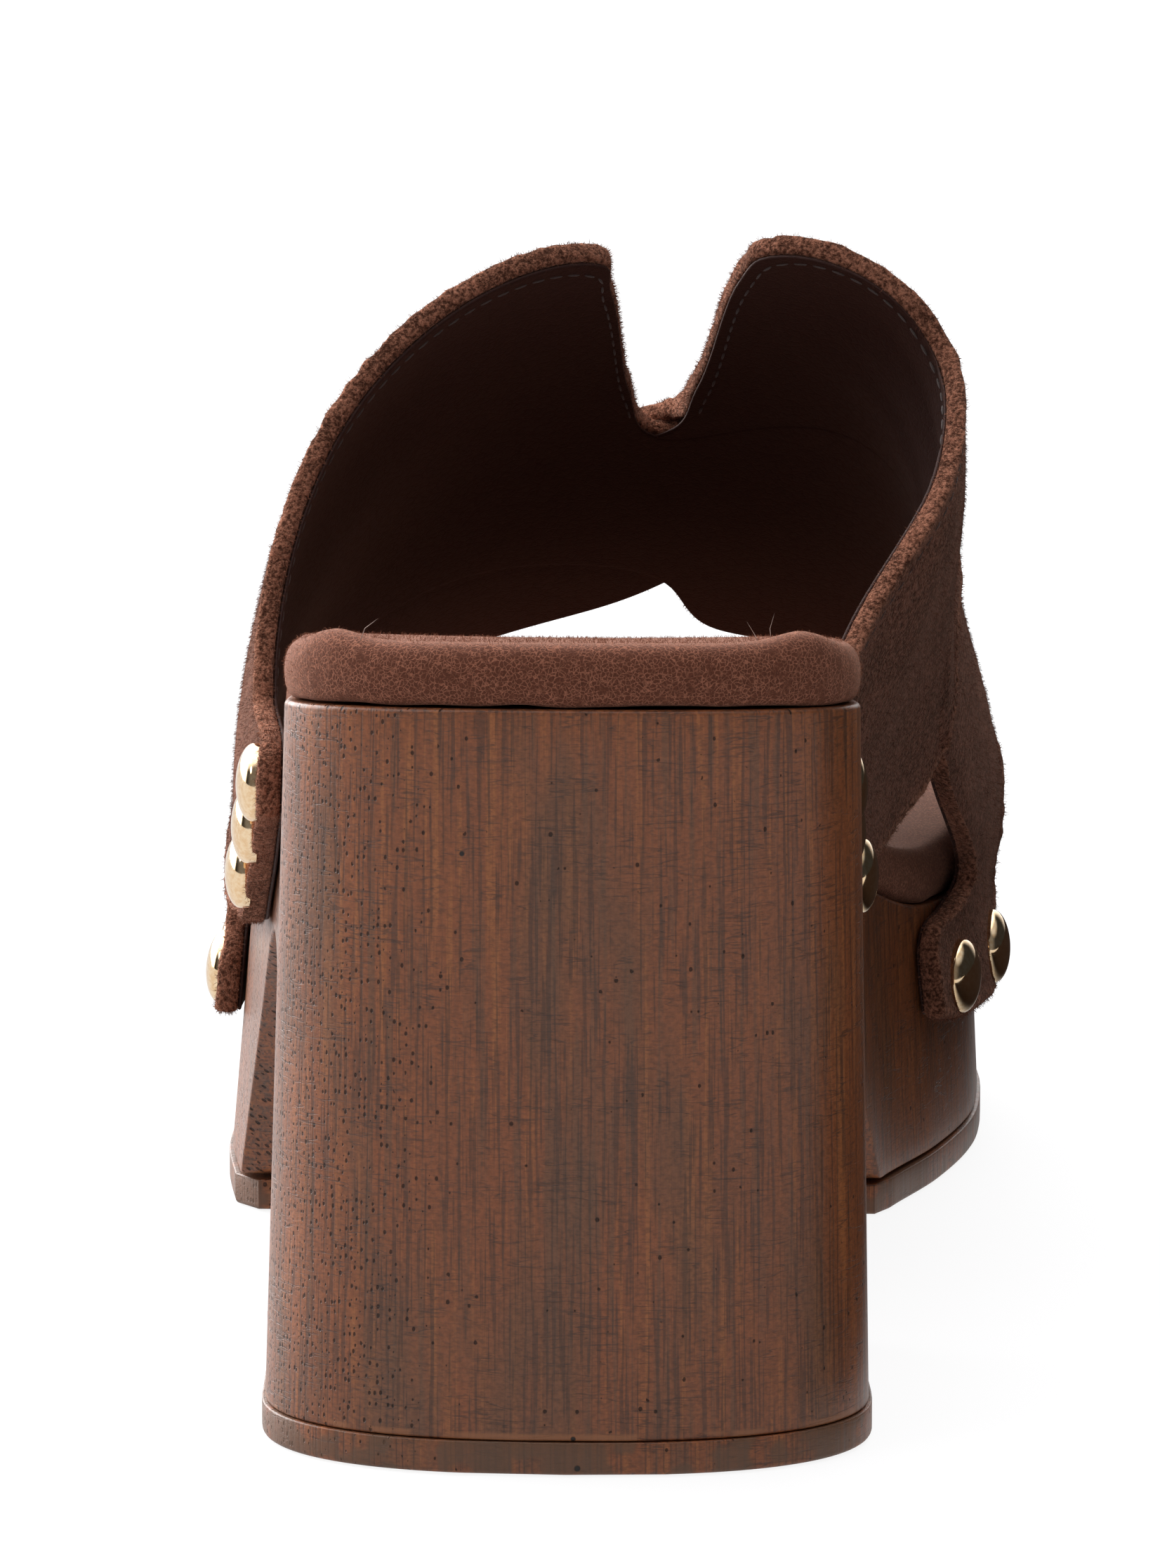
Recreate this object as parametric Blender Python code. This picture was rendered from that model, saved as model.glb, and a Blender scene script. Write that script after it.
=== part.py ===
"""Left platform clog sandal: moulded sole unit, padded insole, crossed suede upper, dome studs.

Lengths are in millimetres until a mesh is made, where MM turns them into metres.
Y runs from the back of the heel to the toe, X towards the inner side of the left foot and
Z up from the floor. A girth of 0 is the ridge of the instep, 1 and -1 are the strap ends.
"""
import math

import bmesh
import bpy
import numpy as np
from mathutils import Vector

MM = 0.001
SEAT_GAP = 0.3
SMOOTH_ANGLE = 35.0
MEDIAL = 1
LATERAL = -1

# Sole unit
SOLE_LENGTH = 246.0
FOOTPRINT_MIDDLE = (-0.18, SOLE_LENGTH / 2)
END_STATIONS = 12
MIDDLE_STATIONS = 25
HEEL_ROUND = 21.0
HEEL_POWER = 2.5
TOE_START = 180.0
TOE_POWER = 2.4
LATERAL_FLARE = 2.6
MEDIAL_FLARE = 1.3
TOP_EDGE = 1.2
TREAD = 3.7
TREAD_EDGE = 0.6
TREAD_STEP = 0.4
TOE_SPRING = 6.0
SPRING_START = 192.0
HEEL_BREAST = 64.0
FOREFOOT_START = 130.0
ARCH_HANDLES = ((64.0, 50.0), (94.0, 66.0))
ARCH_STEPS = 20

# Insole pad
PAD_THICKNESS = 6.5
PAD_DISH = 0.5
PAD_RIM_STEPS = 6
PAD_SPINE = (34.0, 196.0)
PAD_SHARES = (0.8, 0.5, 0.2)

# Upper
STRAP_THICKNESS = 2.3
STRAP_BITE = 0.4
LINING_STEP = 0.25
STRAP_CLIMB = 10.0
TAB_DEPTH = 14.6
LIFT_OFF = 5.0
LATERAL_SHOULDER = 0.68
MEDIAL_SHOULDER = 0.52
LATERAL_POWER = 1.93
MEDIAL_POWER = 2.9
STEPS_ALONG_RIB = 4
STEPS_ACROSS = 8

# Studs
STUD_DIAMETER = 9.4
STUD_HEIGHT = 2.6
STUD_SKIRT = 0.5
STUD_DROP = 9.4
STUD_SIDES = 20
STUD_RINGS = 4
REAR_STUDS_Y = (64.5, 79.5, 93.5)
FRONT_STUDS_Y = {LATERAL: (154.0, 170.0), MEDIAL: (152.5, 173.0)}


def table(columns, rows):
    """Named columns of a short table, each as an array."""
    return {name: np.array(values, float) for name, values in zip(columns.split(), zip(*rows))}


# Half widths of the sole's top edge, a row for each section
PLAN = table("y lateral medial", [
    (0, 32.7, 33.2),
    (21, 33, 33.6),
    (45, 33.7, 31.2),
    (70, 35.6, 27.1),
    (95, 38.4, 28.7),
    (112, 40.3, 30.4),
    (130, 42.7, 33.6),
    (149, 44.8, 40.2),
    (168, 44.3, 44.4),
    (186, 42.8, 45.2),
    (205, 40, 44.8),
    (225, 36.6, 43),
    (246, 32, 41),
])

# Height of the sole's top edge
TOP = table("y z", [
    (0, 89.4),
    (24, 86),
    (45, 82.2),
    (65, 76.8),
    (85, 65.4),
    (105, 53.4),
    (125, 43.6),
    (145, 36.2),
    (168, 34.3),
    (195, 35.4),
    (220, 38),
    (246, 42),
])

# The instep that the upper is pulled over: widest point of each side, and its ridge
LAST = table("y lateral lateral_z medial medial_z ridge_x ridge_z", [
    (55, 35.2, 88, 31, 98, 10, 139),
    (82, 37.8, 72, 33, 98, 10.5, 137),
    (98, 40.3, 64, 41, 99, 10.5, 133),
    (112, 42.2, 56, 42.4, 97, 10, 125.5),
    (130, 43.2, 45, 40.2, 70, 9, 112),
    (150, 45.4, 38.5, 43.6, 50, 7, 96),
    (170, 44.8, 37.5, 46, 42, 6, 79),
    (197, 42.6, 39, 46.8, 38, 5, 59),
])

# Ribs across each strap, from its rear end over the instep to its front end
RIB_COLUMNS = "back_y back_girth front_y front_girth"
OVER_STRAP = table(RIB_COLUMNS, [
    (57, 1, 96, 1),
    (60, 0.88, 104, 0.93),
    (76, 0.72, 117.5, 0.858),
    (91, 0.57, 126, 0.752),
    (104, 0.46, 132, 0.637),
    (112.5, 0.34, 133, 0.536),
    (114, 0.13, 134.5, 0.454),
    (121, 0.073, 146, 0.345),
    (142, 0.033, 162, 0.206),
    (152, -0.015, 176, 0.064),
    (156, -0.25, 188, -0.08),
    (165, -0.5, 191.5, -0.36),
    (161, -0.64, 190, -0.62),
    (152, -0.78, 188, -0.79),
    (147, -0.88, 186, -0.89),
    (146, -1, 181, -1),
])
UNDER_STRAP = table(RIB_COLUMNS, [
    (57, 1, 96, 1),
    (60, 0.88, 108, 0.93),
    (70, 0.76, 121, 0.85),
    (84, 0.57, 136, 0.77),
    (95, 0.43, 150, 0.68),
    (104, 0.29, 161, 0.56),
    (114, 0.091, 166, 0.42),
    (122, 0.066, 170, 0.26),
    (142, 0.04, 176, 0.1),
    (152, -0.01, 181.5, 0),
    (142, -0.237, 193.5, -0.06),
    (131, -0.422, 196.5, -0.238),
    (129, -0.57, 196, -0.358),
    (135, -0.604, 195, -0.426),
    (145, -0.614, 194, -0.482),
    (153, -0.63, 192, -0.566),
    (156, -0.684, 190, -0.655),
    (150, -0.767, 188, -0.742),
    (145, -0.818, 186.5, -0.815),
    (143, -0.886, 184, -0.887),
    (144, -1, 181, -1),
])

# Colour, roughness and metallic value of each material
FINISHES = {
    "wood_look": ((0.20, 0.10, 0.06), 0.5, 0.0),
    "tread_rubber": ((0.12, 0.06, 0.04), 0.7, 0.0),
    "insole_leather": ((0.16, 0.06, 0.03), 0.75, 0.0),
    "suede": ((0.10, 0.04, 0.025), 0.9, 0.0),
    "brass": ((0.85, 0.60, 0.28), 0.15, 1.0),
}


def smooth(rows, column, at, key="y"):
    """A cubic through one column of a table, with slopes from its neighbouring rows."""
    knots = rows[key]
    values = rows[column]
    slopes = np.gradient(values, knots)
    at = np.clip(at, knots[0], knots[-1])
    left = np.clip(np.searchsorted(knots, at) - 1, 0, len(knots) - 2)
    span = knots[left + 1] - knots[left]
    t = (at - knots[left]) / span
    start = values[left] * (1 + 2 * t) * (1 - t) ** 2 + slopes[left] * span * t * (1 - t) ** 2
    end = values[left + 1] * t * t * (3 - 2 * t) - slopes[left + 1] * span * t * t * (1 - t)
    return start + end


def ease(t):
    """A ramp from 0 to 1 that is level at both ends."""
    t = np.clip(t, 0.0, 1.0)
    return t * t * (3 - 2 * t)


def rounding(y):
    """How far the round heel and the round toe narrow the sole at y."""
    back = np.clip((HEEL_ROUND - y) / HEEL_ROUND, 0, 1)
    front = np.clip((y - TOE_START) / (SOLE_LENGTH - TOE_START), 0, 1)
    heel = (1 - back ** HEEL_POWER) ** (1 / HEEL_POWER)
    return heel * (1 - front ** TOE_POWER) ** (1 / TOE_POWER)


def sole_edge(y, side):
    """X of the sole's top edge on one side."""
    lateral = smooth(PLAN, "lateral", y)
    medial = smooth(PLAN, "medial", y)
    return (medial - lateral) / 2 + side * (medial + lateral) / 2 * rounding(y)


def sole_top(y):
    return smooth(TOP, "z", y)


def tread_bottom(y):
    """Height of the tread above the floor: flat, then the toe spring."""
    lift = np.clip((y - SPRING_START) / (SOLE_LENGTH - SPRING_START), 0, 1)
    return TOE_SPRING * lift ** 2


def sole_stations(first, last):
    """Sections along the sole, closer together round the heel and the toe."""
    turn = np.linspace(0, math.pi / 2, END_STATIONS)
    heel = HEEL_ROUND * (1 - np.cos(turn) ** (2 / HEEL_POWER))
    toe_depth = SOLE_LENGTH - TOE_START
    toe = TOE_START + toe_depth * np.sin(turn) ** (2 / TOE_POWER)
    middle = np.linspace(HEEL_ROUND, TOE_START, MIDDLE_STATIONS)[1:-1]
    stations = np.concatenate([heel, middle, toe])
    inside = stations[(stations > first + 1) & (stations < last - 1)]
    return np.concatenate([[first], inside, [last]])


def sole_outline(first=0.0, last=SOLE_LENGTH):
    """The sole's edge as a closed loop: back point, medial side, front point, lateral side."""
    ys = sole_stations(first, last)
    if first <= 0:
        ys = ys[1:]
    if last >= SOLE_LENGTH:
        ys = ys[:-1]
    medial = np.column_stack([sole_edge(ys, MEDIAL), ys])
    lateral = np.column_stack([sole_edge(ys, LATERAL), ys])
    back = [(sole_edge(first, MEDIAL) + sole_edge(first, LATERAL)) / 2, first]
    front = [(sole_edge(last, MEDIAL) + sole_edge(last, LATERAL)) / 2, last]
    return np.vstack([back, medial, front, lateral[::-1]])


def outward(loop):
    """Unit normals of a closed loop that runs anticlockwise."""
    along = np.roll(loop, -1, axis=0) - np.roll(loop, 1, axis=0)
    normal = np.column_stack([along[:, 1], -along[:, 0]])
    return normal / np.linalg.norm(normal, axis=1)[:, None]


def flare(loop):
    """How far the foot of the sole's side stands out, more on the lateral side."""
    lateral = (1 - outward(loop)[:, 0]) / 2
    return MEDIAL_FLARE + (LATERAL_FLARE - MEDIAL_FLARE) * lateral


def ring(loop, offset, heights):
    """A loop moved outwards by an offset and set at its heights."""
    moved = loop + outward(loop) * np.reshape(offset, (-1, 1))
    return np.column_stack([moved, np.broadcast_to(heights, len(loop))])


def add_loop(mesh, points):
    return [mesh.verts.new(Vector(point) * MM) for point in points]


def skin(mesh, lower, upper):
    """Faces between two loops of the same length."""
    count = len(lower)
    for i in range(count):
        j = (i + 1) % count
        mesh.faces.new((lower[i], lower[j], upper[j], upper[i]))


def close_loop(mesh, loop, upwards):
    """Fill a sole-shaped loop with strips from its medial to its lateral side."""
    count = len(loop)
    half = count // 2
    for i in range(half):
        corners = [loop[i], loop[i + 1], loop[-i - 1], loop[-i]]
        if i == 0:
            corners.pop()
        if i == half - 1:
            corners.pop(2)
        mesh.faces.new(corners if upwards else corners[::-1])


def loft(rings):
    """A closed body through rings that run from its underside to its top."""
    mesh = bmesh.new()
    loops = [add_loop(mesh, points) for points in rings]
    for lower, upper in zip(loops, loops[1:]):
        skin(mesh, lower, upper)
    close_loop(mesh, loops[0], upwards=False)
    close_loop(mesh, loops[-1], upwards=True)
    return mesh


def material(name):
    """A plain material from the table of finishes, made once."""
    if name in bpy.data.materials:
        return bpy.data.materials[name]
    color, roughness, metallic = FINISHES[name]
    made = bpy.data.materials.new(name)
    made.use_nodes = True
    shader = made.node_tree.nodes["Principled BSDF"]
    shader.inputs["Base Color"].default_value = (*color, 1.0)
    shader.inputs["Roughness"].default_value = roughness
    shader.inputs["Metallic"].default_value = metallic
    return made


def make_object(name, mesh, finish):
    """An object from a bmesh, hung on the sandal's own origin."""
    data = bpy.data.meshes.new(name)
    mesh.to_mesh(data)
    mesh.free()
    data.materials.append(material(finish))
    data.shade_smooth()
    data.set_sharp_from_angle(angle=math.radians(SMOOTH_ANGLE))
    made = bpy.data.objects.new(name, data)
    bpy.context.scene.collection.objects.link(made)
    made.parent = bpy.data.objects["sandal"]
    return made


def hide_tool(made):
    """Mark an object as a cutter or a guide."""
    made.hide_render = True
    made.display_type = 'WIRE'


def add_boolean(made, operation, other):
    change = made.modifiers.new(operation.lower(), 'BOOLEAN')
    change.operation = operation
    change.object = other
    change.solver = 'EXACT'


def bezier(start, handles, end, steps):
    """Points of a cubic curve."""
    t = np.linspace(0, 1, steps + 1)[:, None]
    a, b, c, d = (np.array(point) for point in (start, *handles, end))
    return a * (1 - t) ** 3 + 3 * b * t * (1 - t) ** 2 + 3 * c * t * t * (1 - t) + d * t ** 3


def make_arch_cutter():
    """The open arch between heel and forefoot, as a bar across the sole."""
    reach = 2 * PLAN["lateral"].max()
    start = (HEEL_BREAST, TREAD)
    end = (FOREFOOT_START, TREAD)
    curve = bezier(start, ARCH_HANDLES, end, ARCH_STEPS)
    section = np.vstack([[HEEL_BREAST, -TREAD], curve, [FOREFOOT_START, -TREAD]])
    mesh = bmesh.new()
    corners = add_loop(mesh, [(-reach, y, z) for y, z in section])
    face = mesh.faces.new(corners)
    grown = bmesh.ops.extrude_face_region(mesh, geom=[face])
    moved = [item for item in grown["geom"] if isinstance(item, bmesh.types.BMVert)]
    bmesh.ops.translate(mesh, verts=moved, vec=(2 * reach * MM, 0, 0))
    bmesh.ops.recalc_face_normals(mesh, faces=mesh.faces)
    cutter = make_object("arch_cutter", mesh, "wood_look")
    hide_tool(cutter)
    return cutter


def make_platform_block():
    """Block heel, arch and forefoot platform in one moulded piece."""
    loop = sole_outline()
    top = sole_top(loop[:, 1])
    bottom = tread_bottom(loop[:, 1]) + TREAD + SEAT_GAP
    side_height = top - TOP_EDGE - bottom
    rings = []
    for rise in (0, 0.5, 1):
        rings.append(ring(loop, flare(loop) * (1 - rise), bottom + side_height * rise))
    rings.append(ring(loop, -TOP_EDGE, top))
    block = make_object("platform_block", loft(rings), "wood_look")
    add_boolean(block, 'DIFFERENCE', make_arch_cutter())


def make_tread(name, first, last):
    """A thin tread layer, a little proud of the sole above it, with eased edges."""
    loop = sole_outline(first, last)
    bottom = tread_bottom(loop[:, 1])
    proud = flare(loop) + TREAD_STEP
    rings = [
        ring(loop, proud - TREAD_EDGE, bottom),
        ring(loop, proud, bottom + TREAD_EDGE),
        ring(loop, proud, bottom + TREAD - TREAD_EDGE),
        ring(loop, proud - TREAD_EDGE, bottom + TREAD),
    ]
    make_object(name, loft(rings), "tread_rubber")


def make_insole_pad():
    """A padded footbed with a round rim and a shallow dish."""
    loop = sole_outline()
    base = sole_top(loop[:, 1]) + SEAT_GAP
    radius = PAD_THICKNESS / 2
    rings = []
    for turn in np.linspace(-math.pi / 2, math.pi / 2, PAD_RIM_STEPS + 1):
        rings.append(ring(loop, radius * (math.cos(turn) - 1), base + radius * (1 + math.sin(turn))))
    rim = rings[-1]
    spine_y = np.clip(loop[:, 1], *PAD_SPINE)
    spine_x = (sole_edge(spine_y, MEDIAL) + sole_edge(spine_y, LATERAL)) / 2
    spine = np.column_stack([spine_x, spine_y])
    for share in PAD_SHARES:
        flat = spine + (rim[:, :2] - spine) * share
        height = sole_top(flat[:, 1]) + SEAT_GAP + PAD_THICKNESS - PAD_DISH * (1 - share ** 2)
        rings.append(np.column_stack([flat, height]))
    make_object("insole_pad", loft(rings), "insole_leather")


def sole_side(y, z, side):
    """X of the sole's side at a height, following its flare."""
    top = sole_top(y) - TOP_EDGE
    bottom = tread_bottom(y) + TREAD + SEAT_GAP
    depth = np.clip((top - z) / (top - bottom), 0, 1)
    most = MEDIAL_FLARE if side == MEDIAL else LATERAL_FLARE
    return sole_edge(y, side) + side * most * depth


def last_point(y, girth):
    """A point of the inside of the upper, on the instep or down the side of the sole."""
    side = np.where(girth >= 0, MEDIAL, LATERAL)
    medial = girth >= 0
    shoulder = np.where(medial, MEDIAL_SHOULDER, LATERAL_SHOULDER)
    power = np.where(medial, MEDIAL_POWER, LATERAL_POWER)
    wide_x = np.where(medial, smooth(LAST, "medial", y), -smooth(LAST, "lateral", y))
    wide_z = np.where(medial, smooth(LAST, "medial_z", y), smooth(LAST, "lateral_z", y))
    ridge_x = smooth(LAST, "ridge_x", y)
    ridge_z = smooth(LAST, "ridge_z", y)
    reach = np.abs(girth)
    turn = np.clip(reach / shoulder, 0, 1) * math.pi / 2
    radius = (np.sin(turn) ** power + np.cos(turn) ** power) ** (-1 / power)
    arc_x = ridge_x + (wide_x - ridge_x) * radius * np.sin(turn)
    arc_z = wide_z + (ridge_z - wide_z) * radius * np.cos(turn)
    down = np.clip((reach - shoulder) / (1 - shoulder), 0, 1)
    end_z = sole_top(y) - TAB_DEPTH
    wall_z = wide_z + (end_z - wide_z) * down
    rim_z = sole_top(y)
    leave_z = rim_z - LIFT_OFF
    swell = ease((wall_z - leave_z) / (wide_z - leave_z))
    foot_x = np.where(medial, sole_side(y, wall_z, MEDIAL), sole_side(y, wall_z, LATERAL))
    foot_x = foot_x + side * SEAT_GAP
    wall_x = foot_x + (wide_x - foot_x) * swell
    on_wall = reach > shoulder
    x = np.where(on_wall, wall_x, arc_x)
    z = np.where(on_wall, wall_z, arc_z)
    return np.stack([x, np.broadcast_to(y, x.shape), z], axis=-1)


def last_normal(y, girth):
    """Outward normals of the instep, from small steps along and around it."""
    step_y = 0.5
    step_girth = 0.004
    along = last_point(y + step_y, girth) - last_point(y - step_y, girth)
    around = last_point(y, girth + step_girth) - last_point(y, girth - step_girth)
    normal = np.cross(around, along)
    return normal / np.linalg.norm(normal, axis=-1)[..., None]


def strap_rib(rows, column, at):
    """A column of ribs, smoothed between them."""
    numbered = {"rib": np.arange(len(rows[column])), column: rows[column]}
    return smooth(numbered, column, at, key="rib")


def strap_edge(rows, edge, girth):
    """Y of a strap's back or front edge at a girth of its own."""
    return np.interp(girth, rows[edge + "_girth"][::-1], rows[edge + "_y"][::-1])


def strap_grid(rows, side):
    """Y and girth over a strap: along its length, then from its back to its front edge."""
    ribs = len(rows["back_y"]) - 1
    at = np.linspace(0, ribs, ribs * STEPS_ALONG_RIB + 1)[:, None]
    across = np.linspace(0, 1, STEPS_ACROSS + 1)[None, :]

    def between(what):
        back = strap_rib(rows, "back_" + what, at)
        front = strap_rib(rows, "front_" + what, at)
        return back + (front - back) * across

    return between("y"), side * np.clip(between("girth"), -1, 1)


def climb(y, girth, rows, side):
    """How far a strap lies on top of the other one, from 0 to 1."""
    behind = strap_edge(rows, "back", side * girth)
    ahead = strap_edge(rows, "front", side * girth)
    return ease((y - behind) / STRAP_CLIMB + 1) * ease((ahead - y) / STRAP_CLIMB + 1)


def make_strap(name, rows, side, inner, outer):
    """One strap as a wall between two heights above the instep."""
    y, girth = strap_grid(rows, side)
    base = last_point(y, girth)
    normal = last_normal(y, girth)
    mesh = bmesh.new()
    sheets = []
    for height in (inner(y, girth), outer(y, girth)):
        points = base + normal * height[..., None]
        sheets.append([add_loop(mesh, line) for line in points])
    for sheet, outwards in zip(sheets, (False, True)):
        for line, following in zip(sheet, sheet[1:]):
            for i in range(STEPS_ACROSS):
                corners = (line[i], line[i + 1], following[i + 1], following[i])
                mesh.faces.new(corners if outwards == (side == MEDIAL) else corners[::-1])
    rims = []
    for sheet in sheets:
        back = [line[0] for line in sheet[-2:0:-1]]
        front = [line[-1] for line in sheet[1:-1]]
        rims.append(sheet[0] + front + sheet[-1][::-1] + back)
    skin(mesh, *rims)
    bmesh.ops.recalc_face_normals(mesh, faces=mesh.faces)
    return make_object(name, mesh, "suede")


def make_upper():
    """Two crossed straps joined into one hollow upper, smooth on the inside."""

    def covered(y, girth):
        return climb(y, girth, OVER_STRAP, MEDIAL)

    def covering(y, girth):
        return climb(y, girth, UNDER_STRAP, LATERAL)

    def level(y, girth):
        return np.zeros_like(y)

    def raised_lining(y, girth):
        return LINING_STEP * covered(y, girth)

    def one_strap(y, girth):
        return np.full_like(y, STRAP_THICKNESS)

    def two_straps(y, girth):
        return STRAP_THICKNESS + (STRAP_THICKNESS - STRAP_BITE) * covering(y, girth)

    upper = make_strap("upper", UNDER_STRAP, LATERAL, raised_lining, one_strap)
    over = make_strap("over_strap", OVER_STRAP, MEDIAL, level, two_straps)
    hide_tool(over)
    add_boolean(upper, 'UNION', over)


def make_stud(name, y, side):
    """A dome-headed nail on a strap end."""
    z = sole_top(y) - STUD_DROP
    step = 1.0
    base = np.array([sole_side(y, z, side), y, z])
    along = np.array([sole_side(y + step, z, side) - sole_side(y - step, z, side), 2 * step, 0])
    up = np.array([sole_side(y, z + step, side) - sole_side(y, z - step, side), 0, 2 * step])
    normal = np.cross(along, up) * side
    normal = normal / np.linalg.norm(normal)
    seat = base + normal * (SEAT_GAP + STRAP_THICKNESS + SEAT_GAP)
    radius = STUD_DIAMETER / 2
    turns = np.arange(STUD_SIDES) * 2 * math.pi / STUD_SIDES
    circle = np.column_stack([np.cos(turns), np.sin(turns)]) * radius
    rises = np.arange(STUD_RINGS) / STUD_RINGS * math.pi / 2
    profile = [(1.0, 0.0)]
    for rise in rises:
        profile.append((math.cos(rise), STUD_SKIRT + (STUD_HEIGHT - STUD_SKIRT) * math.sin(rise)))
    mesh = bmesh.new()
    loops = []
    for share, height in profile:
        loops.append(add_loop(mesh, np.column_stack([circle * share, np.full(STUD_SIDES, height)])))
    for lower, upper in zip(loops, loops[1:]):
        skin(mesh, lower, upper)
    mesh.faces.new(loops[0][::-1])
    crown = mesh.verts.new((0, 0, STUD_HEIGHT * MM))
    for i in range(STUD_SIDES):
        mesh.faces.new((loops[-1][i], loops[-1][(i + 1) % STUD_SIDES], crown))
    stud = make_object(name, mesh, "brass")
    stud.location = Vector(seat) * MM
    stud.rotation_euler = Vector(normal).to_track_quat('Z', 'Y').to_euler()


def make_studs():
    """A row of studs on each strap end."""
    for side, side_name in ((LATERAL, "lateral"), (MEDIAL, "medial")):
        for end, places in (("rear", REAR_STUDS_Y), ("front", FRONT_STUDS_Y[side])):
            for number, y in enumerate(places, 1):
                make_stud(f"stud_{end}_{side_name}_{number}", y, side)


def make_origin():
    """An empty at the middle of the footprint, which every piece hangs on."""
    origin = bpy.data.objects.new("sandal", None)
    bpy.context.scene.collection.objects.link(origin)
    x, y = FOOTPRINT_MIDDLE
    origin.location = Vector((-x, -y, 0)) * MM


def main():
    for old in list(bpy.data.objects):
        bpy.data.objects.remove(old)
    make_origin()
    make_platform_block()
    make_tread("heel_lift", 0.0, HEEL_BREAST - MEDIAL_FLARE)
    make_tread("forefoot_outsole", FOREFOOT_START + MEDIAL_FLARE, SOLE_LENGTH)
    make_insole_pad()
    make_upper()
    make_studs()


main()
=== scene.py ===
import math

import bpy
import numpy as np
from mathutils import Matrix, Vector


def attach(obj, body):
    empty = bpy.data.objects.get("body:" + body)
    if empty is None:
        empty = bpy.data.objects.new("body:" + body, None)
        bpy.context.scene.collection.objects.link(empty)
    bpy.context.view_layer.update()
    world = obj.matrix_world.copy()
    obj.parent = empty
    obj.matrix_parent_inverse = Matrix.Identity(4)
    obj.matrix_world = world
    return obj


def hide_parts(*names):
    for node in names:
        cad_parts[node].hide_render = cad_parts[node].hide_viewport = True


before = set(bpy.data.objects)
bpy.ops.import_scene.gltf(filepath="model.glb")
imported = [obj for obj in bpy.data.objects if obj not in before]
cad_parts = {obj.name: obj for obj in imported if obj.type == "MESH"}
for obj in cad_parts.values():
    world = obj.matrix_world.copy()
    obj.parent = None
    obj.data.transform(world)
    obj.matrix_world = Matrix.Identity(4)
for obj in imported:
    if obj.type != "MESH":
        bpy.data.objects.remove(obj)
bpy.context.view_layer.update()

mm = 0.001
medial = 1  # towards the inner side of this left shoe
lateral = -1
seatGap = 0.3
footMiddle = np.array([-0.18, 123.0, 0.0])  # the frame's origin, in mm from the back of the heel


# small helpers for tables, curves and meshes

def columns(names, rows):
    return dict(zip(names.split(), np.array(rows, float).T))


def ease(t):
    t = np.clip(t, 0.0, 1.0)
    return t * t * (3 - 2 * t)


def started(value, run):
    # eases from 0 to 1 from a start, over a length
    return ease((value - run[0]) / run[1])


def curveAt(rows, column, at, key="y"):
    # cubic through a column, with slopes from its neighbouring rows
    knots = rows[key]
    values = rows[column]
    slopes = np.gradient(values, knots)
    at = np.clip(at, knots[0], knots[-1])
    left = np.clip(np.searchsorted(knots, at) - 1, 0, len(knots) - 2)
    span = knots[left + 1] - knots[left]
    t = (at - knots[left]) / span
    start = values[left] * (1 + 2 * t) * (1 - t) ** 2 + slopes[left] * span * t * (1 - t) ** 2
    end = values[left + 1] * t * t * (3 - 2 * t) - slopes[left + 1] * span * t * t * (1 - t)
    return start + end


def toFrame(points):
    return (np.asarray(points, float) - footMiddle) * mm


def unit(vectors):
    return vectors / np.linalg.norm(vectors, axis=-1)[..., None]


def distanceAlong(line):
    return np.concatenate([[0], np.cumsum(np.linalg.norm(np.diff(line, axis=0), axis=1))])


def quarterTurn(steps):
    # what a rounded edge lacks of its radius in cosine and in sine, step by step
    turn = np.linspace(0, math.pi / 2, steps)
    return list(zip(1 - np.cos(turn), 1 - np.sin(turn)))


def lumps(points, pitch, seed):
    # smooth seeded noise from -1 to 1, with its lumps about a pitch apart
    count = 64
    table = np.random.default_rng(seed).uniform(-1, 1, (count, count, count))
    place = points / pitch
    cell = np.floor(place).astype(int)
    part = ease(place - cell)
    total = np.zeros(points.shape[:-1])
    for corner in np.ndindex(2, 2, 2):
        weight = np.prod(np.where(corner, part, 1 - part), axis=-1)
        at = (cell + corner) % count
        total = total + weight * table[at[..., 0], at[..., 1], at[..., 2]]
    return total


def pickOnly(piece=None):
    if bpy.context.object is not None and bpy.context.object.mode != 'OBJECT':
        bpy.ops.object.mode_set(mode='OBJECT')
    bpy.ops.object.select_all(action='DESELECT')
    if piece is not None:
        piece.select_set(True)
        bpy.context.view_layer.objects.active = piece


def gridPiece(name, points):
    # a grid primitive with its vertices moved to rows and columns of points in mm
    rows, across = points.shape[:2]
    pickOnly()
    bpy.ops.mesh.primitive_grid_add(x_subdivisions=across - 1, y_subdivisions=rows - 1)
    piece = bpy.context.object
    piece.name = name
    piece.data.name = name
    piece.data.vertices.foreach_set("co", toFrame(points).astype(np.float32).ravel())
    piece.data.update()
    return piece


def closeUp(piece, sharp=40.0, weld=2e-6):
    # welds the seams of a rolled grid and turns every face outwards
    pickOnly(piece)
    bpy.ops.object.mode_set(mode='EDIT')
    bpy.ops.mesh.select_all(action='SELECT')
    bpy.ops.mesh.remove_doubles(threshold=weld)
    bpy.ops.mesh.dissolve_degenerate(threshold=weld)
    bpy.ops.mesh.select_all(action='SELECT')
    bpy.ops.mesh.normals_make_consistent(inside=False)
    bpy.ops.object.mode_set(mode='OBJECT')
    bpy.ops.object.shade_smooth_by_angle(angle=math.radians(sharp))
    return piece


def loftPiece(name, rings, sharp=40.0):
    # rings run from underside to top; each goes back, medial side, front, lateral side
    rings = np.array(rings)
    half = rings.shape[1] // 2
    inner = rings[:, :half + 1]
    outer = np.concatenate([rings[:, :1], rings[:, :half - 1:-1]], axis=1)
    sections = np.concatenate([outer[:1], inner, outer[::-1]], axis=0)
    return closeUp(gridPiece(name, sections.transpose(1, 0, 2)), sharp)


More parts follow.
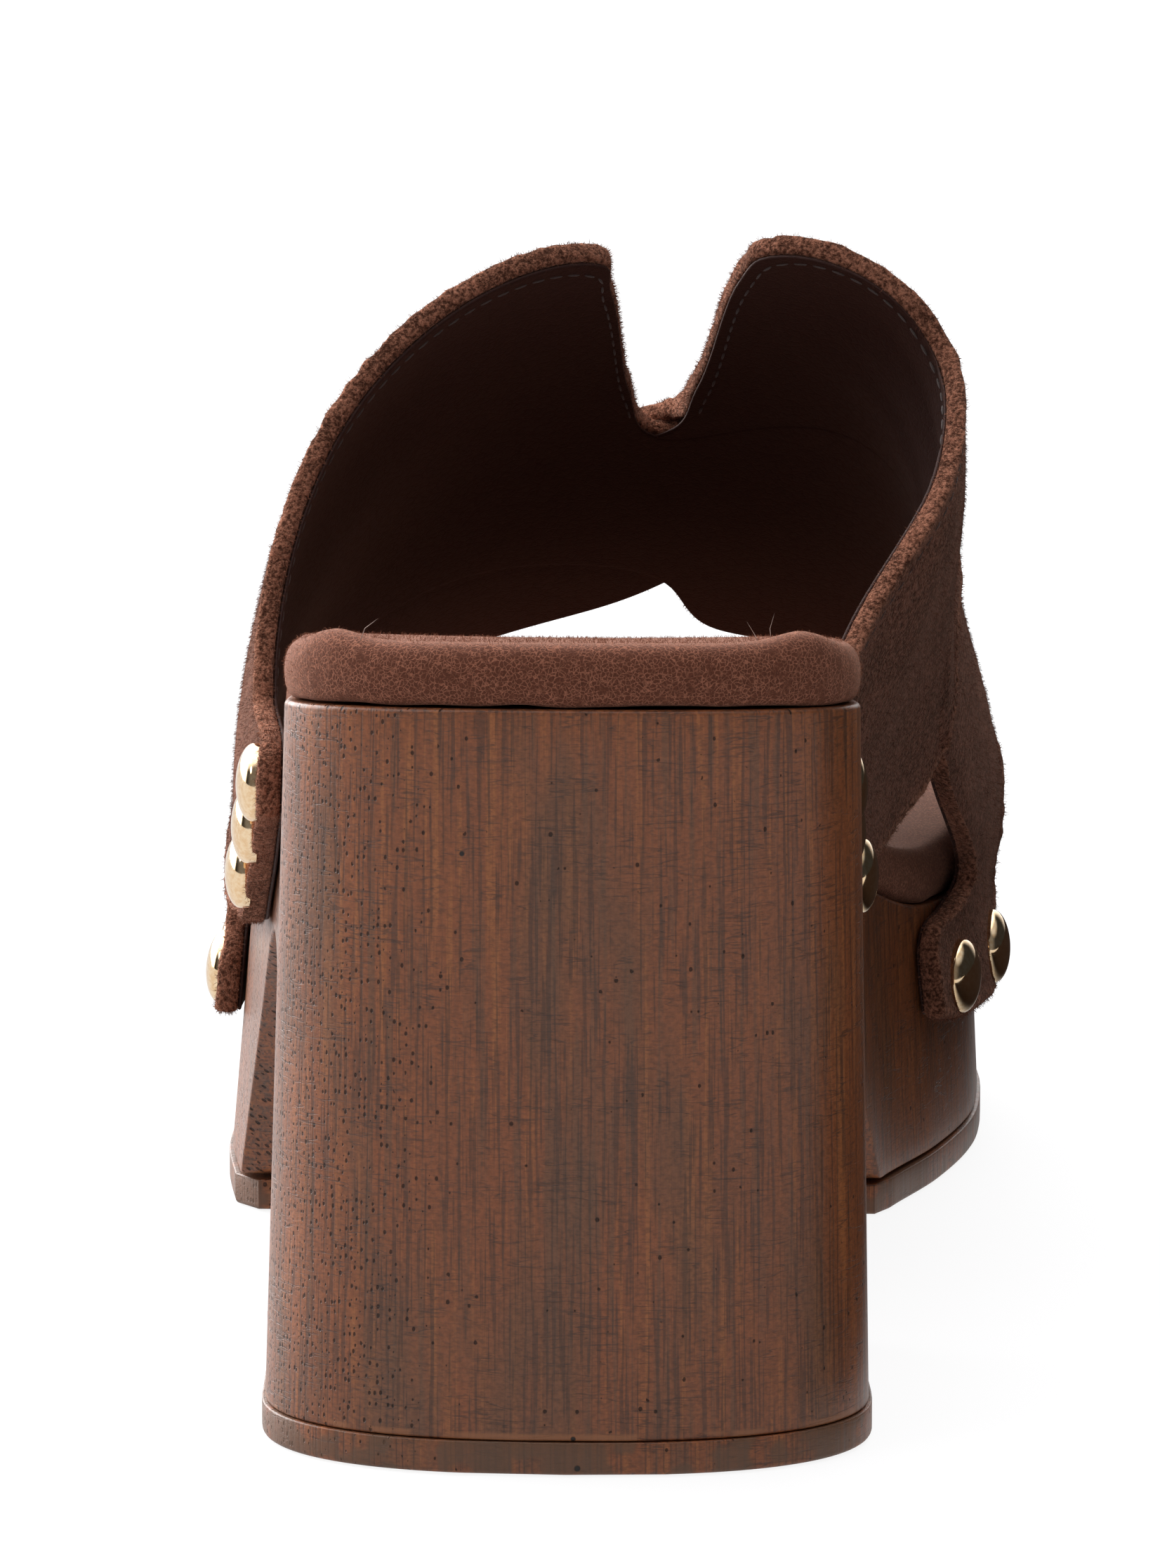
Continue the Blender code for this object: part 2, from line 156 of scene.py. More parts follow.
def readEach(items, title, width=1):
    values = np.empty(len(items) * width, np.float32)
    items.foreach_get(title, values)
    return values.reshape(-1, width).astype(float)


def scatterOn(piece, weights, count, seed):
    # seeded places on a piece with their normals, closer together where the weights are high
    mesh = piece.data
    mesh.calc_loop_triangles()
    corners = np.empty(len(mesh.loop_triangles) * 3, np.int32)
    mesh.loop_triangles.foreach_get("vertices", corners)
    corners = corners.reshape(-1, 3)
    spots = readEach(mesh.vertices, "co", 3)
    normals = readEach(mesh.vertices, "normal", 3)
    sides = spots[corners[:, 1:]] - spots[corners[:, :1]]
    area = np.linalg.norm(np.cross(sides[:, 0], sides[:, 1]), axis=1)
    chance = area * weights[corners].mean(1)
    rng = np.random.default_rng(seed)
    chosen = corners[rng.choice(len(corners), count, p=chance / chance.sum())]
    first = np.sqrt(rng.random(count))
    second = rng.random(count)
    share = np.stack([1 - first, first * (1 - second), first * second], axis=1)[..., None]
    return (spots[chosen] * share).sum(1), unit((normals[chosen] * share).sum(1)), rng


def meshPiece(name, vertices, quads, triangles):
    mesh = bpy.data.meshes.new(name)
    mesh.from_pydata(vertices.reshape(-1, 3).tolist(), [],
                     quads.reshape(-1, 4).tolist() + triangles.reshape(-1, 3).tolist())
    mesh.update()
    piece = bpy.data.objects.new(name, mesh)
    bpy.context.scene.collection.objects.link(piece)
    return piece


def ringsAround(ways, hint, sides):
    # a circle of directions square to each way
    aside = unit(np.cross(ways, hint))
    across = np.cross(ways, aside)
    turn = np.arange(sides) * 2 * math.pi / sides
    return aside[:, None] * np.cos(turn)[None, :, None] + across[:, None] * np.sin(turn)[None, :, None]


def fibrePiece(name, roots, ways, tips, lengths, radius):
    # three-sided fibres that start along one way and bend towards another; lengths and radius in mm
    ways = unit(ways)
    ring = ringsAround(ways, np.roll(ways, 1, axis=1) + np.array([0.31, 0.17, 0.05]), 3) * radius * mm
    reach = np.reshape(lengths, (-1, 1)) * mm * 0.5
    elbow = roots + ways * reach
    tip = elbow + unit(tips) * reach
    vertices = np.concatenate([roots[:, None] + ring, elbow[:, None] + ring * 0.8, tip[:, None]], axis=1)
    base = np.arange(len(roots))[:, None, None] * 7
    walls = np.array([(0, 1, 4, 3), (1, 2, 5, 4), (2, 0, 3, 5)]) + base
    ends = np.array([(0, 2, 1), (3, 4, 6), (4, 5, 6), (5, 3, 6)]) + base
    return meshPiece(name, vertices, walls, ends)


def dress(piece, finish, slot, *nodes):
    piece.data.materials.clear()
    piece.data.materials.append(finish)
    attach(piece, "root")
    if nodes:
        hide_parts(*nodes)
    return piece


# camera, light and floor

view = {
    "place": (0.0555, -1.593, 0.380),
    "aim": (-0.0009, -0.040, 0.0640),
    "lens": 302.0,
    "sensor": 36.0,
}
studio = {
    "room": 0.03,  # dim all round
    "lights": {  # way, where the light's soft edge starts and ends as a cosine, and strength
        "overhead": ((-0.36, 0.34, 1.0), 0.58, 0.95, 2.6),
        "backdrop": ((-0.45, 1.0, 0.12), 0.40, 0.90, 1.8),
        "left": ((-0.78, 0.60, 0.22), 0.76, 0.95, 5.5),
        "front": ((-0.22, -0.90, 0.36), 0.35, 0.95, 0.16),
        "window": ((-0.62, -0.45, 0.62), 0.980, 0.992, 3.5),
        "right": ((0.40, -0.10, 0.92), 0.74, 0.97, 0.60),
    },
    "floor": (0.16, 0.16, 0.165, 1.0),  # as it lights the shoe
    "floorSeen": 0.88,  # extra glow for the camera, so that it looks white
    "floorBounce": 0.58,  # extra glow that lights the shoe, dim beside its right side
    # painted shade: beside the shoe's right side the floor turns dark and stops glowing, for the light it
    # gives the shoe
    "dimAcross": (0.035, 0.075),
    "dimAlong": (-0.16, -0.10),
    "dimFloor": (0.015, 0.010, 0.008, 1.0),
    "floorSize": 14.0,
    "floorZ": -0.0002,
}
white = (1.0, 1.0, 1.0, 1.0)


def addCamera():
    bpy.ops.object.camera_add(location=view["place"])
    camera = bpy.context.object
    camera.name = "photoCamera"
    camera.data.lens = view["lens"]
    camera.data.sensor_width = view["sensor"]
    camera.data.clip_start = 0.05
    camera.data.clip_end = 60.0
    way = Vector(view["aim"]) - Vector(view["place"])
    camera.rotation_euler = way.to_track_quat('-Z', 'Y').to_euler()
    bpy.context.scene.camera = camera


# node helpers shared by the world and the materials

def plug(tree, socket, value):
    if isinstance(value, bpy.types.NodeSocket):
        tree.links.new(value, socket)
    else:
        socket.default_value = value


def feed(tree, node, **values):
    # links or sets inputs of a node, with _ for each space in their names
    for title, value in values.items():
        plug(tree, node.inputs[title.replace("_", " ")], value)


def addNode(tree, kind, sockets=None, **settings):
    made = tree.nodes.new(kind)
    for name, value in settings.items():
        setattr(made, name, value)
    for name, value in (sockets or {}).items():
        plug(tree, made.inputs[name], value)
    return made.outputs


def combine(tree, operation, first, second=0.0):
    return addNode(tree, "ShaderNodeMath", {0: first, 1: second}, operation=operation)[0]


def times(tree, first, *others):
    for other in others:
        first = combine(tree, 'MULTIPLY', first, other)
    return first


def weighted(tree, *terms):
    # sum of values, each times its weight
    total = times(tree, *terms[0])
    for term in terms[1:]:
        total = combine(tree, 'ADD', total, times(tree, *term))
    return total


def ramp(tree, value, low, high, start=0.0, end=1.0):
    sockets = {"Value": value, "From Min": low, "From Max": high, "To Min": start, "To Max": end}
    return addNode(tree, "ShaderNodeMapRange", sockets, interpolation_type='SMOOTHSTEP')["Result"]


def mixColor(tree, share, first, second):
    return addNode(tree, "ShaderNodeMix", {"Factor": share, 6: first, 7: second}, data_type='RGBA')[2]


def noise(tree, vector, scale, detail=2.0, rough=0.5):
    sockets = {"Vector": vector, "Scale": scale, "Detail": detail, "Roughness": rough}
    return addNode(tree, "ShaderNodeTexNoise", sockets)["Fac"]


def vectorMath(tree, operation, first, second):
    return addNode(tree, "ShaderNodeVectorMath", {0: first, 1: second}, operation=operation)


def stretched(tree, vector, x, y, z):
    return vectorMath(tree, 'MULTIPLY', vector, (x, y, z))[0]


def shadedBy(tree, tone, scale):
    return addNode(tree, "ShaderNodeVectorMath", {0: tone, "Scale": scale}, operation='SCALE')[0]


def millimetres(tree):
    return stretched(tree, addNode(tree, "ShaderNodeTexCoord")["Object"], 1000.0, 1000.0, 1000.0)


def newFinish(name, **constants):
    finish = bpy.data.materials.new(name)
    finish.use_nodes = True
    tree = finish.node_tree
    shader = tree.nodes["Principled BSDF"]
    feed(tree, shader, **constants)
    return finish, tree, shader


def addStudio():
    world = bpy.data.worlds.new("studio")
    bpy.context.scene.world = world
    world.use_nodes = True
    tree = world.node_tree
    tree.nodes.clear()
    way = addNode(tree, "ShaderNodeTexCoord")["Generated"]
    strength = studio["room"]
    for toward, edge, full, power in studio["lights"].values():
        facing = vectorMath(tree, 'DOT_PRODUCT', way, tuple(Vector(toward).normalized()))["Value"]
        strength = combine(tree, 'ADD', strength, ramp(tree, facing, edge, full, 0.0, power))
    glow = addNode(tree, "ShaderNodeBackground", {"Color": white, "Strength": strength})
    addNode(tree, "ShaderNodeOutputWorld", {"Surface": glow[0]})


def addFloor():
    pickOnly()
    bpy.ops.mesh.primitive_plane_add(size=studio["floorSize"], location=(0.0, 0.0, studio["floorZ"]))
    floor = bpy.context.object
    floor.name = "floor"
    paint, tree, shader = newFinish("paleFloor", Roughness=0.9, Specular_IOR_Level=0.0,
                                    Emission_Color=white)
    seen = addNode(tree, "ShaderNodeLightPath")["Is Camera Ray"]
    place = addNode(tree, "ShaderNodeSeparateXYZ", {0: addNode(tree, "ShaderNodeTexCoord")["Object"]})
    # painted shade beside the shoe's right side: there the floor's colour for the light it gives the shoe
    # is dark and its glow fades out; the camera still sees it white
    dim = times(tree, ramp(tree, place["X"], *studio["dimAcross"]),
                ramp(tree, place["Y"], *studio["dimAlong"]))
    bounce = ramp(tree, dim, 0.0, 1.0, studio["floorBounce"], 0.0)
    tone = mixColor(tree, dim, studio["floor"], studio["dimFloor"])
    glow = addNode(tree, "ShaderNodeMix", {"Factor": seen, 2: bounce, 3: studio["floorSeen"]})[0]
    feed(tree, shader, Base_Color=mixColor(tree, seen, tone, studio["floor"]), Emission_Strength=glow)
    floor.data.materials.append(paint)


addCamera()
addStudio()
addFloor()
bpy.context.scene.view_settings.view_transform = 'Standard'
print("camera, light and floor are set")


# effects that several finishes share

def newGroup(name, colorsIn, valuesIn, valuesOut):
    # every group puts out a color and the values named
    group = bpy.data.node_groups.new(name, 'ShaderNodeTree')
    for titles, way, kind in ((colorsIn, 'INPUT', "Color"), (valuesIn, 'INPUT', "Float"),
                              ("Color", 'OUTPUT', "Color"), (valuesOut, 'OUTPUT', "Float")):
        for title in titles.split():
            group.interface.new_socket(title, in_out=way, socket_type="NodeSocket" + kind)
    return group, group.nodes.new("NodeGroupInput").outputs, group.nodes.new("NodeGroupOutput")


def makeGrainGroup():
    # upright streaks, grey patches, thin cross scratches and pores of the wood-look sole
    group, entry, leave = newGroup("uprightGrain", "Warm Orange Grey Dark", "Pores", "Height Worn")
    place = millimetres(group)
    x, y, z = addNode(group, "ShaderNodeSeparateXYZ", {0: place})
    streaks = noise(group, stretched(group, place, 1, 1, 0.008), 1.05, 3.0, 0.66)
    lines = noise(group, stretched(group, place, 1, 1, 0.016), 2.5, 1.0)
    patches = noise(group, stretched(group, place, 1, 1, 0.20), 0.085, 3.0, 0.55)
    mottle = noise(group, place, 1.7, 3.0, 0.62)
    linen = noise(group, stretched(group, place, 0.09, 0.09, 1), 1.1)
    weave = noise(group, stretched(group, place, 0.35, 0.35, 1), 3.6, 1.0)
    broken = noise(group, place, 0.22)
    thin = ramp(group, lines, 0.49, 0.36)
    nearLine = combine(group, 'ABSOLUTE', combine(group, 'SUBTRACT', linen, 0.5))
    scratch = times(group, ramp(group, nearLine, 0.022, 0.003), ramp(group, broken, 0.42, 0.58))
    layers = (
        ("Orange", ramp(group, streaks, 0.52, 0.66, 0.0, 0.75)),
        ("Grey", ramp(group, streaks, 0.47, 0.34, 0.0, 0.55)),
        ("Grey", ramp(group, patches, 0.48, 0.68, 0.0, 0.60)),
        ("Dark", times(group, thin, 0.54)),
        ("Dark", times(group, scratch, 0.58)),
        ("Dark", ramp(group, weave, 0.52, 0.32, 0.0, 0.32)),
    )
    tone = entry["Warm"]
    for title, share in layers:
        tone = mixColor(group, share, tone, entry[title])
    tone = shadedBy(group, tone, ramp(group, mottle, 0.30, 0.70, 0.84, 1.16))
    # pores lie flat on the side of the sole, close together towards its outer edge
    around = times(group, combine(group, 'SIGN', x), combine(group, 'ADD', y, 123.0))
    toeward = combine(group, 'GREATER_THAN', y, 45.0)
    across = times(group, x, combine(group, 'SUBTRACT', 1.0, times(group, toeward, 2.0)))
    flat = addNode(group, "ShaderNodeCombineXYZ", {"X": combine(group, 'ADD', across, around),
                                                   "Y": times(group, z, 0.85)})[0]
    cells = addNode(group, "ShaderNodeTexVoronoi", {"Vector": flat, "Scale": 1.05, "Randomness": 1.0},
                    voronoi_dimensions='2D')
    chances = addNode(group, "ShaderNodeSeparateColor", {0: cells["Color"]})
    crowd = combine(group, 'ADD', ramp(group, x, -9.0, -34.0, 0.015, 0.88),
                    ramp(group, broken, 0.45, 0.70, 0.0, 0.04))
    kept = combine(group, 'LESS_THAN', chances[0], times(group, crowd, entry["Pores"]))
    reach = ramp(group, chances[1], 0.0, 1.0, 0.06, 0.26)
    inside = combine(group, 'SUBTRACT', reach, cells["Distance"])
    pore = times(group, kept, ramp(group, inside, -0.05, 0.07))
    feed(group, leave, Color=mixColor(group, times(group, pore, 0.82), tone, (0.012, 0.006, 0.004, 1.0)),
         Height=weighted(group, (pore, -1.0), (thin, -0.12), (scratch, -0.25), (weave, 0.22),
                         (mottle, 0.30)),
         Worn=ramp(group, streaks, 0.35, 0.65))
    return group


def makeNapGroup():
    # brushed patches, tufts and fine grains of suede
    group, entry, leave = newGroup("brushedNap", "Deep Raised", "Contrast", "Height")
    place = millimetres(group)
    brushed = noise(group, place, 0.10, 3.0)
    tufts = noise(group, place, 1.1, 2.0, 0.6)
    grains = noise(group, place, 2.3, 2.0, 0.65)
    share = weighted(group, (brushed, 0.18), (tufts, 0.27), (grains, 0.55))
    spread = times(group, entry["Contrast"], 0.5)
    low = combine(group, 'SUBTRACT', 0.5, spread)
    high = combine(group, 'ADD', 0.5, spread)
    feed(group, leave, Color=mixColor(group, ramp(group, share, low, high), entry["Deep"], entry["Raised"]),
         Height=weighted(group, (tufts, 0.5), (grains, 1.0)))
    return group


def makeCrackleGroup():
    # fine net of creases in the insole and lining leather
    group, entry, leave = newGroup("crackledGrain", "Base Crease", "Net Strength Mottle", "Height")
    place = millimetres(group)
    bend = addNode(group, "ShaderNodeTexNoise", {"Vector": place, "Scale": 1.1, "Detail": 2.0})["Color"]
    bent = vectorMath(group, 'ADD', place, stretched(group, bend, 0.9, 0.9, 0.9))[0]
    cells = addNode(group, "ShaderNodeTexVoronoi", {"Vector": bent, "Scale": entry["Net"]},
                    feature='DISTANCE_TO_EDGE')
    edge = ramp(group, cells["Distance"], 0.13, 0.01)
    broken = ramp(group, noise(group, place, 0.8), 0.26, 0.52)
    fine = noise(group, place, 5.5, 2.0, 0.7)
    crease = times(group, edge, broken, entry["Strength"])
    tone = mixColor(group, crease, entry["Base"], entry["Crease"])
    darkest = combine(group, 'SUBTRACT', 1.0, entry["Mottle"])
    palest = combine(group, 'ADD', 1.0, entry["Mottle"])
    shade = addNode(group, "ShaderNodeMapRange", {"Value": fine, "From Min": 0.30, "From Max": 0.70,
                                                  "To Min": darkest, "To Max": palest})["Result"]
    feed(group, leave, Color=shadedBy(group, tone, shade),
         Height=weighted(group, (fine, 0.5), (crease, -0.6)))
    return group


grainGroup = makeGrainGroup()
napGroup = makeNapGroup()
crackleGroup = makeCrackleGroup()


# finishes

def addBump(tree, shader, height, strength, distance):
    bump = addNode(tree, "ShaderNodeBump", {"Height": height, "Strength": strength, "Distance": distance})
    feed(tree, shader, Normal=bump["Normal"])


def useGroup(tree, group, values):
    return addNode(tree, "ShaderNodeGroup", values, node_tree=group)


woodTones = {
    "layers": {
        "Warm": (0.232, 0.072, 0.026, 1.0),
        "Orange": (0.318, 0.108, 0.034, 1.0),
        "Grey": (0.120, 0.059, 0.031, 1.0),
        "Dark": (0.050, 0.025, 0.017, 1.0),
    },
    "line": (0.300, 0.115, 0.045, 1.0),
    "pit": (0.010, 0.005, 0.003, 1.0),
    "pits": ((-11.4, 72.6, 0.36), (1.4, 4.3, 0.34), (1.9, 0.9, 0.42)),  # x, z and radius
}


def makeWoodFinish(name, roughness, pores, line):
    finish, tree, shader = newFinish(name, Coat_Roughness=0.30, Specular_IOR_Level=0.28)
    grain = useGroup(tree, grainGroup, dict(woodTones["layers"], Pores=pores))
    place = millimetres(tree)
    x, y, z = addNode(tree, "ShaderNodeSeparateXYZ", {0: place})
    # a broken orange line where the lacquer is thin, just above the heel's foot
    worn = ramp(tree, noise(tree, place, 0.16), 0.44, 0.52)
    foot = times(tree, ramp(tree, z, 5.1, 4.6), worn, 0.75)
    tone = mixColor(tree, foot, grain["Color"], line)
    pitted = 0.0
    for pitX, pitZ, radius in woodTones["pits"]:
        across = combine(tree, 'SUBTRACT', x, pitX)
        up = combine(tree, 'SUBTRACT', z, pitZ)
        away = weighted(tree, (across, across), (up, up))
        pitted = combine(tree, 'ADD', pitted, ramp(tree, away, radius * radius, radius * radius * 0.3))
    pitted = times(tree, pitted, ramp(tree, y, -112.0, -116.0))
    feed(tree, shader, Base_Color=mixColor(tree, pitted, tone, woodTones["pit"]),
         Roughness=ramp(tree, grain["Worn"], 0.0, 1.0, roughness - 0.06, roughness + 0.08),
         Coat_Weight=ramp(tree, grain["Height"], -0.6, 0.0, 0.0, 0.38))
    addBump(tree, shader, combine(tree, 'SUBTRACT', grain["Height"], pitted), 0.7, 0.00026)
    return finish


suedeTones = {
    "face": {
        "Deep": (0.038, 0.0138, 0.0088, 1.0),
        "Raised": (0.238, 0.100, 0.068, 1.0),
        "Contrast": 0.24,
    },
    "cut": {
        "Deep": (0.066, 0.025, 0.015, 1.0),
        "Raised": (0.360, 0.155, 0.098, 1.0),
        "Contrast": 0.20,
    },
}


def makeSuedeFinish():
    # darker on the brushed faces, paler on the raw cut edges
    finish, tree, shader = newFinish("chocolateSuede", Roughness=0.95, Specular_IOR_Level=0.03,
                                     Sheen_Weight=0.24, Sheen_Roughness=0.45,
                                     Sheen_Tint=(1.0, 0.62, 0.48, 1.0))
    face = useGroup(tree, napGroup, suedeTones["face"])
    cut = useGroup(tree, napGroup, suedeTones["cut"])
    edge = addNode(tree, "ShaderNodeAttribute", attribute_name="edgeDistance")["Fac"]
    feed(tree, shader, Base_Color=mixColor(tree, ramp(tree, edge, 1.9, 0.7), face["Color"], cut["Color"]))
    addBump(tree, shader, face["Height"], 1.0, 0.00050)
    return finish


def makeFibreFinish(name, tones):
    finish, tree, shader = newFinish(name, Roughness=0.9, Specular_IOR_Level=0.08, Sheen_Weight=0.12,
                                     Sheen_Roughness=0.5, Sheen_Tint=(1.0, 0.7, 0.56, 1.0))
    feed(tree, shader, Base_Color=useGroup(tree, napGroup, dict(tones, Contrast=0.34))["Color"])
    return finish


def makeLeatherFinish(name, roughness, sheen, **grain):
    finish, tree, shader = newFinish(name, Specular_IOR_Level=0.25, Sheen_Weight=sheen,
                                     Sheen_Roughness=0.5, Sheen_Tint=(1.0, 0.56, 0.40, 1.0))
    skin = useGroup(tree, crackleGroup, grain)
    rough = ramp(tree, skin["Height"], 0.0, 0.5, roughness + 0.06, roughness - 0.06)
    feed(tree, shader, Base_Color=skin["Color"], Roughness=rough)
    addBump(tree, shader, skin["Height"], 0.5, 0.00022)
    return finish


def makeBrassFinish():
    finish, tree, shader = newFinish("polishedBrass", Metallic=1.0)
    haze = noise(tree, millimetres(tree), 1.6, 3.0, 0.6)
    tone = mixColor(tree, ramp(tree, haze, 0.35, 0.65), (0.86, 0.59, 0.34, 1.0), (0.95, 0.73, 0.48, 1.0))
    feed(tree, shader, Base_Color=tone, Roughness=ramp(tree, haze, 0.3, 0.7, 0.05, 0.12))
    return finish


def makeThreadFinish(name, color):
    finish, tree, shader = newFinish(name, Roughness=0.8, Sheen_Weight=0.3)
    twist = noise(tree, millimetres(tree), 6.0)
    pale = tuple(channel * 1.35 for channel in color[:3]) + (1.0,)
    feed(tree, shader, Base_Color=mixColor(tree, ramp(tree, twist, 0.4, 0.6), color, pale))
    addBump(tree, shader, twist, 0.6, 0.0001)
    return finish


woodFinish = makeWoodFinish("woodLook", 0.46, 1.0, woodTones["line"])
treadFinish = makeWoodFinish("treadBand", 0.52, 0.7, woodTones["layers"]["Grey"])
suedeFinish = makeSuedeFinish()
rawFibreFinish = makeFibreFinish("rawSuedeFibre", suedeTones["cut"])
napFibreFinish = makeFibreFinish("napFibre", suedeTones["face"])
padFinish = makeLeatherFinish("insoleLeather", 0.85, 0.30, Net=1.9, Strength=0.85, Mottle=0.36,
                              Base=(0.098, 0.0270, 0.0130, 1.0), Crease=(0.318, 0.122, 0.073, 1.0))
padFibreFinish = makeFibreFinish("insoleFibre", {"Deep": (0.150, 0.052, 0.030, 1.0),
                                                 "Raised": (0.370, 0.165, 0.105, 1.0)})
hairFinish = makeFibreFinish("strayHair", {"Deep": (0.42, 0.30, 0.25, 1.0),
                                           "Raised": (0.72, 0.60, 0.54, 1.0)})
liningFinish = makeLeatherFinish("liningLeather", 0.60, 0.05, Net=0.8, Strength=0.5, Mottle=0.25,
                                 Base=(0.034, 0.0115, 0.0085, 1.0), Crease=(0.046, 0.017, 0.013, 1.0))
brassFinish = makeBrassFinish()
threadFinish = makeThreadFinish("liningThread", (0.060, 0.041, 0.037, 1.0))
seamFinish = makeThreadFinish("suedeThread", (0.040, 0.017, 0.012, 1.0))
print("finishes are made")


# sole unit

sole = {
    "length": 246.0,
    "heelRound": 21.0,
    "heelPower": 2.5,
    "toeStart": 180.0,
    "toePower": 2.4,
    "lateralFlare": 2.6,
    "medialFlare": 1.3,
    "tread": 3.7,
    "toeSpring": 6.0,
    "springStart": 192.0,
    "sideTop": 1.2,
    "plan": columns("y lateral medial", [
        (0, 32.7, 33.2), (21, 33, 33.6), (45, 33.7, 31.2), (70, 35.6, 27.1), (95, 38.4, 28.7),
        (112, 40.3, 30.4), (130, 42.7, 33.6), (149, 44.8, 40.2), (168, 44.3, 44.4), (186, 42.8, 45.2),
        (205, 40, 44.8), (225, 36.6, 43), (246, 32, 41),
    ]),
    "top": columns("y z", [
        (0, 89.4), (24, 86), (45, 82.2), (65, 76.8), (85, 65.4), (105, 53.4), (125, 43.6), (145, 36.2),
        (168, 34.3), (195, 35.4), (220, 38), (246, 42),
    ]),
}


def narrowing(y):
    # how far the round heel and toe pull the sole in
    back = np.clip((sole["heelRound"] - y) / sole["heelRound"], 0, 1)
    front = np.clip((y - sole["toeStart"]) / (sole["length"] - sole["toeStart"]), 0, 1)
    heel = (1 - back ** sole["heelPower"]) ** (1 / sole["heelPower"])
    return heel * (1 - front ** sole["toePower"]) ** (1 / sole["toePower"])


def edgeX(y, side):
    outer = curveAt(sole["plan"], "lateral", y)
    inner = curveAt(sole["plan"], "medial", y)
    return (inner - outer) / 2 + side * (inner + outer) / 2 * narrowing(y)


def topZ(y):
    return curveAt(sole["top"], "z", y)


def treadZ(y):
    lift = np.clip((y - sole["springStart"]) / (sole["length"] - sole["springStart"]), 0, 1)
    return sole["toeSpring"] * lift ** 2


def sideShare(y, z):
    # 1 at the foot of the sole's side, 0 at its top
    top = topZ(y) - sole["sideTop"]
    foot = treadZ(y) + sole["tread"] + seatGap
    return np.clip((top - z) / (top - foot), 0, 1)


def sideX(y, z, side):
    flare = sole["medialFlare"] if side == medial else sole["lateralFlare"]
    return edgeX(y, side) + side * flare * sideShare(y, z)


def endStations(steps):
    turn = np.linspace(0, math.pi / 2, steps)
    heel = sole["heelRound"] * (1 - np.cos(turn) ** (2 / sole["heelPower"]))
    toe = (sole["length"] - sole["toeStart"]) * np.sin(turn) ** (2 / sole["toePower"])
    return heel, sole["toeStart"] + toe


def outline(ys):
    # back point, medial side, front point, lateral side; a round end has only its point
    inner = np.column_stack([edgeX(ys, medial), ys])
    outer = np.column_stack([edgeX(ys, lateral), ys])
    middle = (inner + outer) / 2
    first = 1 if ys[0] <= 0 else 0
    last = len(ys) - 1 if ys[-1] >= sole["length"] else len(ys)
    return np.vstack([middle[:1], inner[first:last], middle[-1:], outer[first:last][::-1]])


def outward(loop):
    along = np.roll(loop, -1, axis=0) - np.roll(loop, 1, axis=0)
    return unit(np.column_stack([along[:, 1], -along[:, 0]]))


def flareOf(loop):
    share = (1 - outward(loop)[:, 0]) / 2
    return sole["medialFlare"] + (sole["lateralFlare"] - sole["medialFlare"]) * share


def ringAt(loop, offset, heights):
    moved = loop + outward(loop) * np.reshape(offset, (-1, 1))
    return np.column_stack([moved, np.broadcast_to(heights, len(loop))])


def aroundLoop(values):
    # values by station, repeated in the order of a closed outline
    return np.concatenate([values, values[-2:0:-1]])


block = {
    "breast": 64.0,
    "forefoot": 130.0,
    "archHandles": ((64.0, 50.0), (94.0, 66.0)),
    "corner": 1.6,
    "edge": 0.3,
    "topEdge": 0.6,
    "rows": 16,
    "spacing": 0.9,
    "endSteps": 34,
}


def undersideLine():
    # flat heel, breast, arch and forefoot as one line in y and z with eased corners
    foot = sole["tread"] + seatGap
    t = np.linspace(0, 1, 240)[:, None]
    a = np.array([block["breast"], sole["tread"]])
    b, c = (np.array(handle) for handle in block["archHandles"])
    d = np.array([block["forefoot"], sole["tread"]])
    arch = a * (1 - t) ** 3 + 3 * b * t * (1 - t) ** 2 + 3 * c * t * t * (1 - t) + d * t ** 3
    arch = arch[arch[:, 1] > foot]
    line = np.vstack([[sole["heelRound"], foot], arch, [sole["toeStart"], foot]])
    gone = distanceAlong(line)
    step = 0.1
    at = np.arange(0, gone[-1], step)
    fine = np.column_stack([np.interp(at, gone, line[:, 0]), np.interp(at, gone, line[:, 1])])
    reach = int(block["corner"] / step)
    kernel = np.hanning(2 * reach + 3)[1:-1]
    kernel = kernel / kernel.sum()
    padded = np.vstack([np.repeat(fine[:1], reach, 0), fine, np.repeat(fine[-1:], reach, 0)])
    soft = np.column_stack([np.convolve(padded[:, i], kernel, 'valid') for i in range(2)])
    soft[:2 * reach] = fine[:2 * reach]
    soft[-2 * reach:] = fine[-2 * reach:]
    along = unit(np.gradient(soft, axis=0))
    pick = np.arange(reach, len(soft) - reach, int(block["spacing"] / step))
    into = np.column_stack([-along[:, 1], along[:, 0]])
    return soft[pick], into[pick]


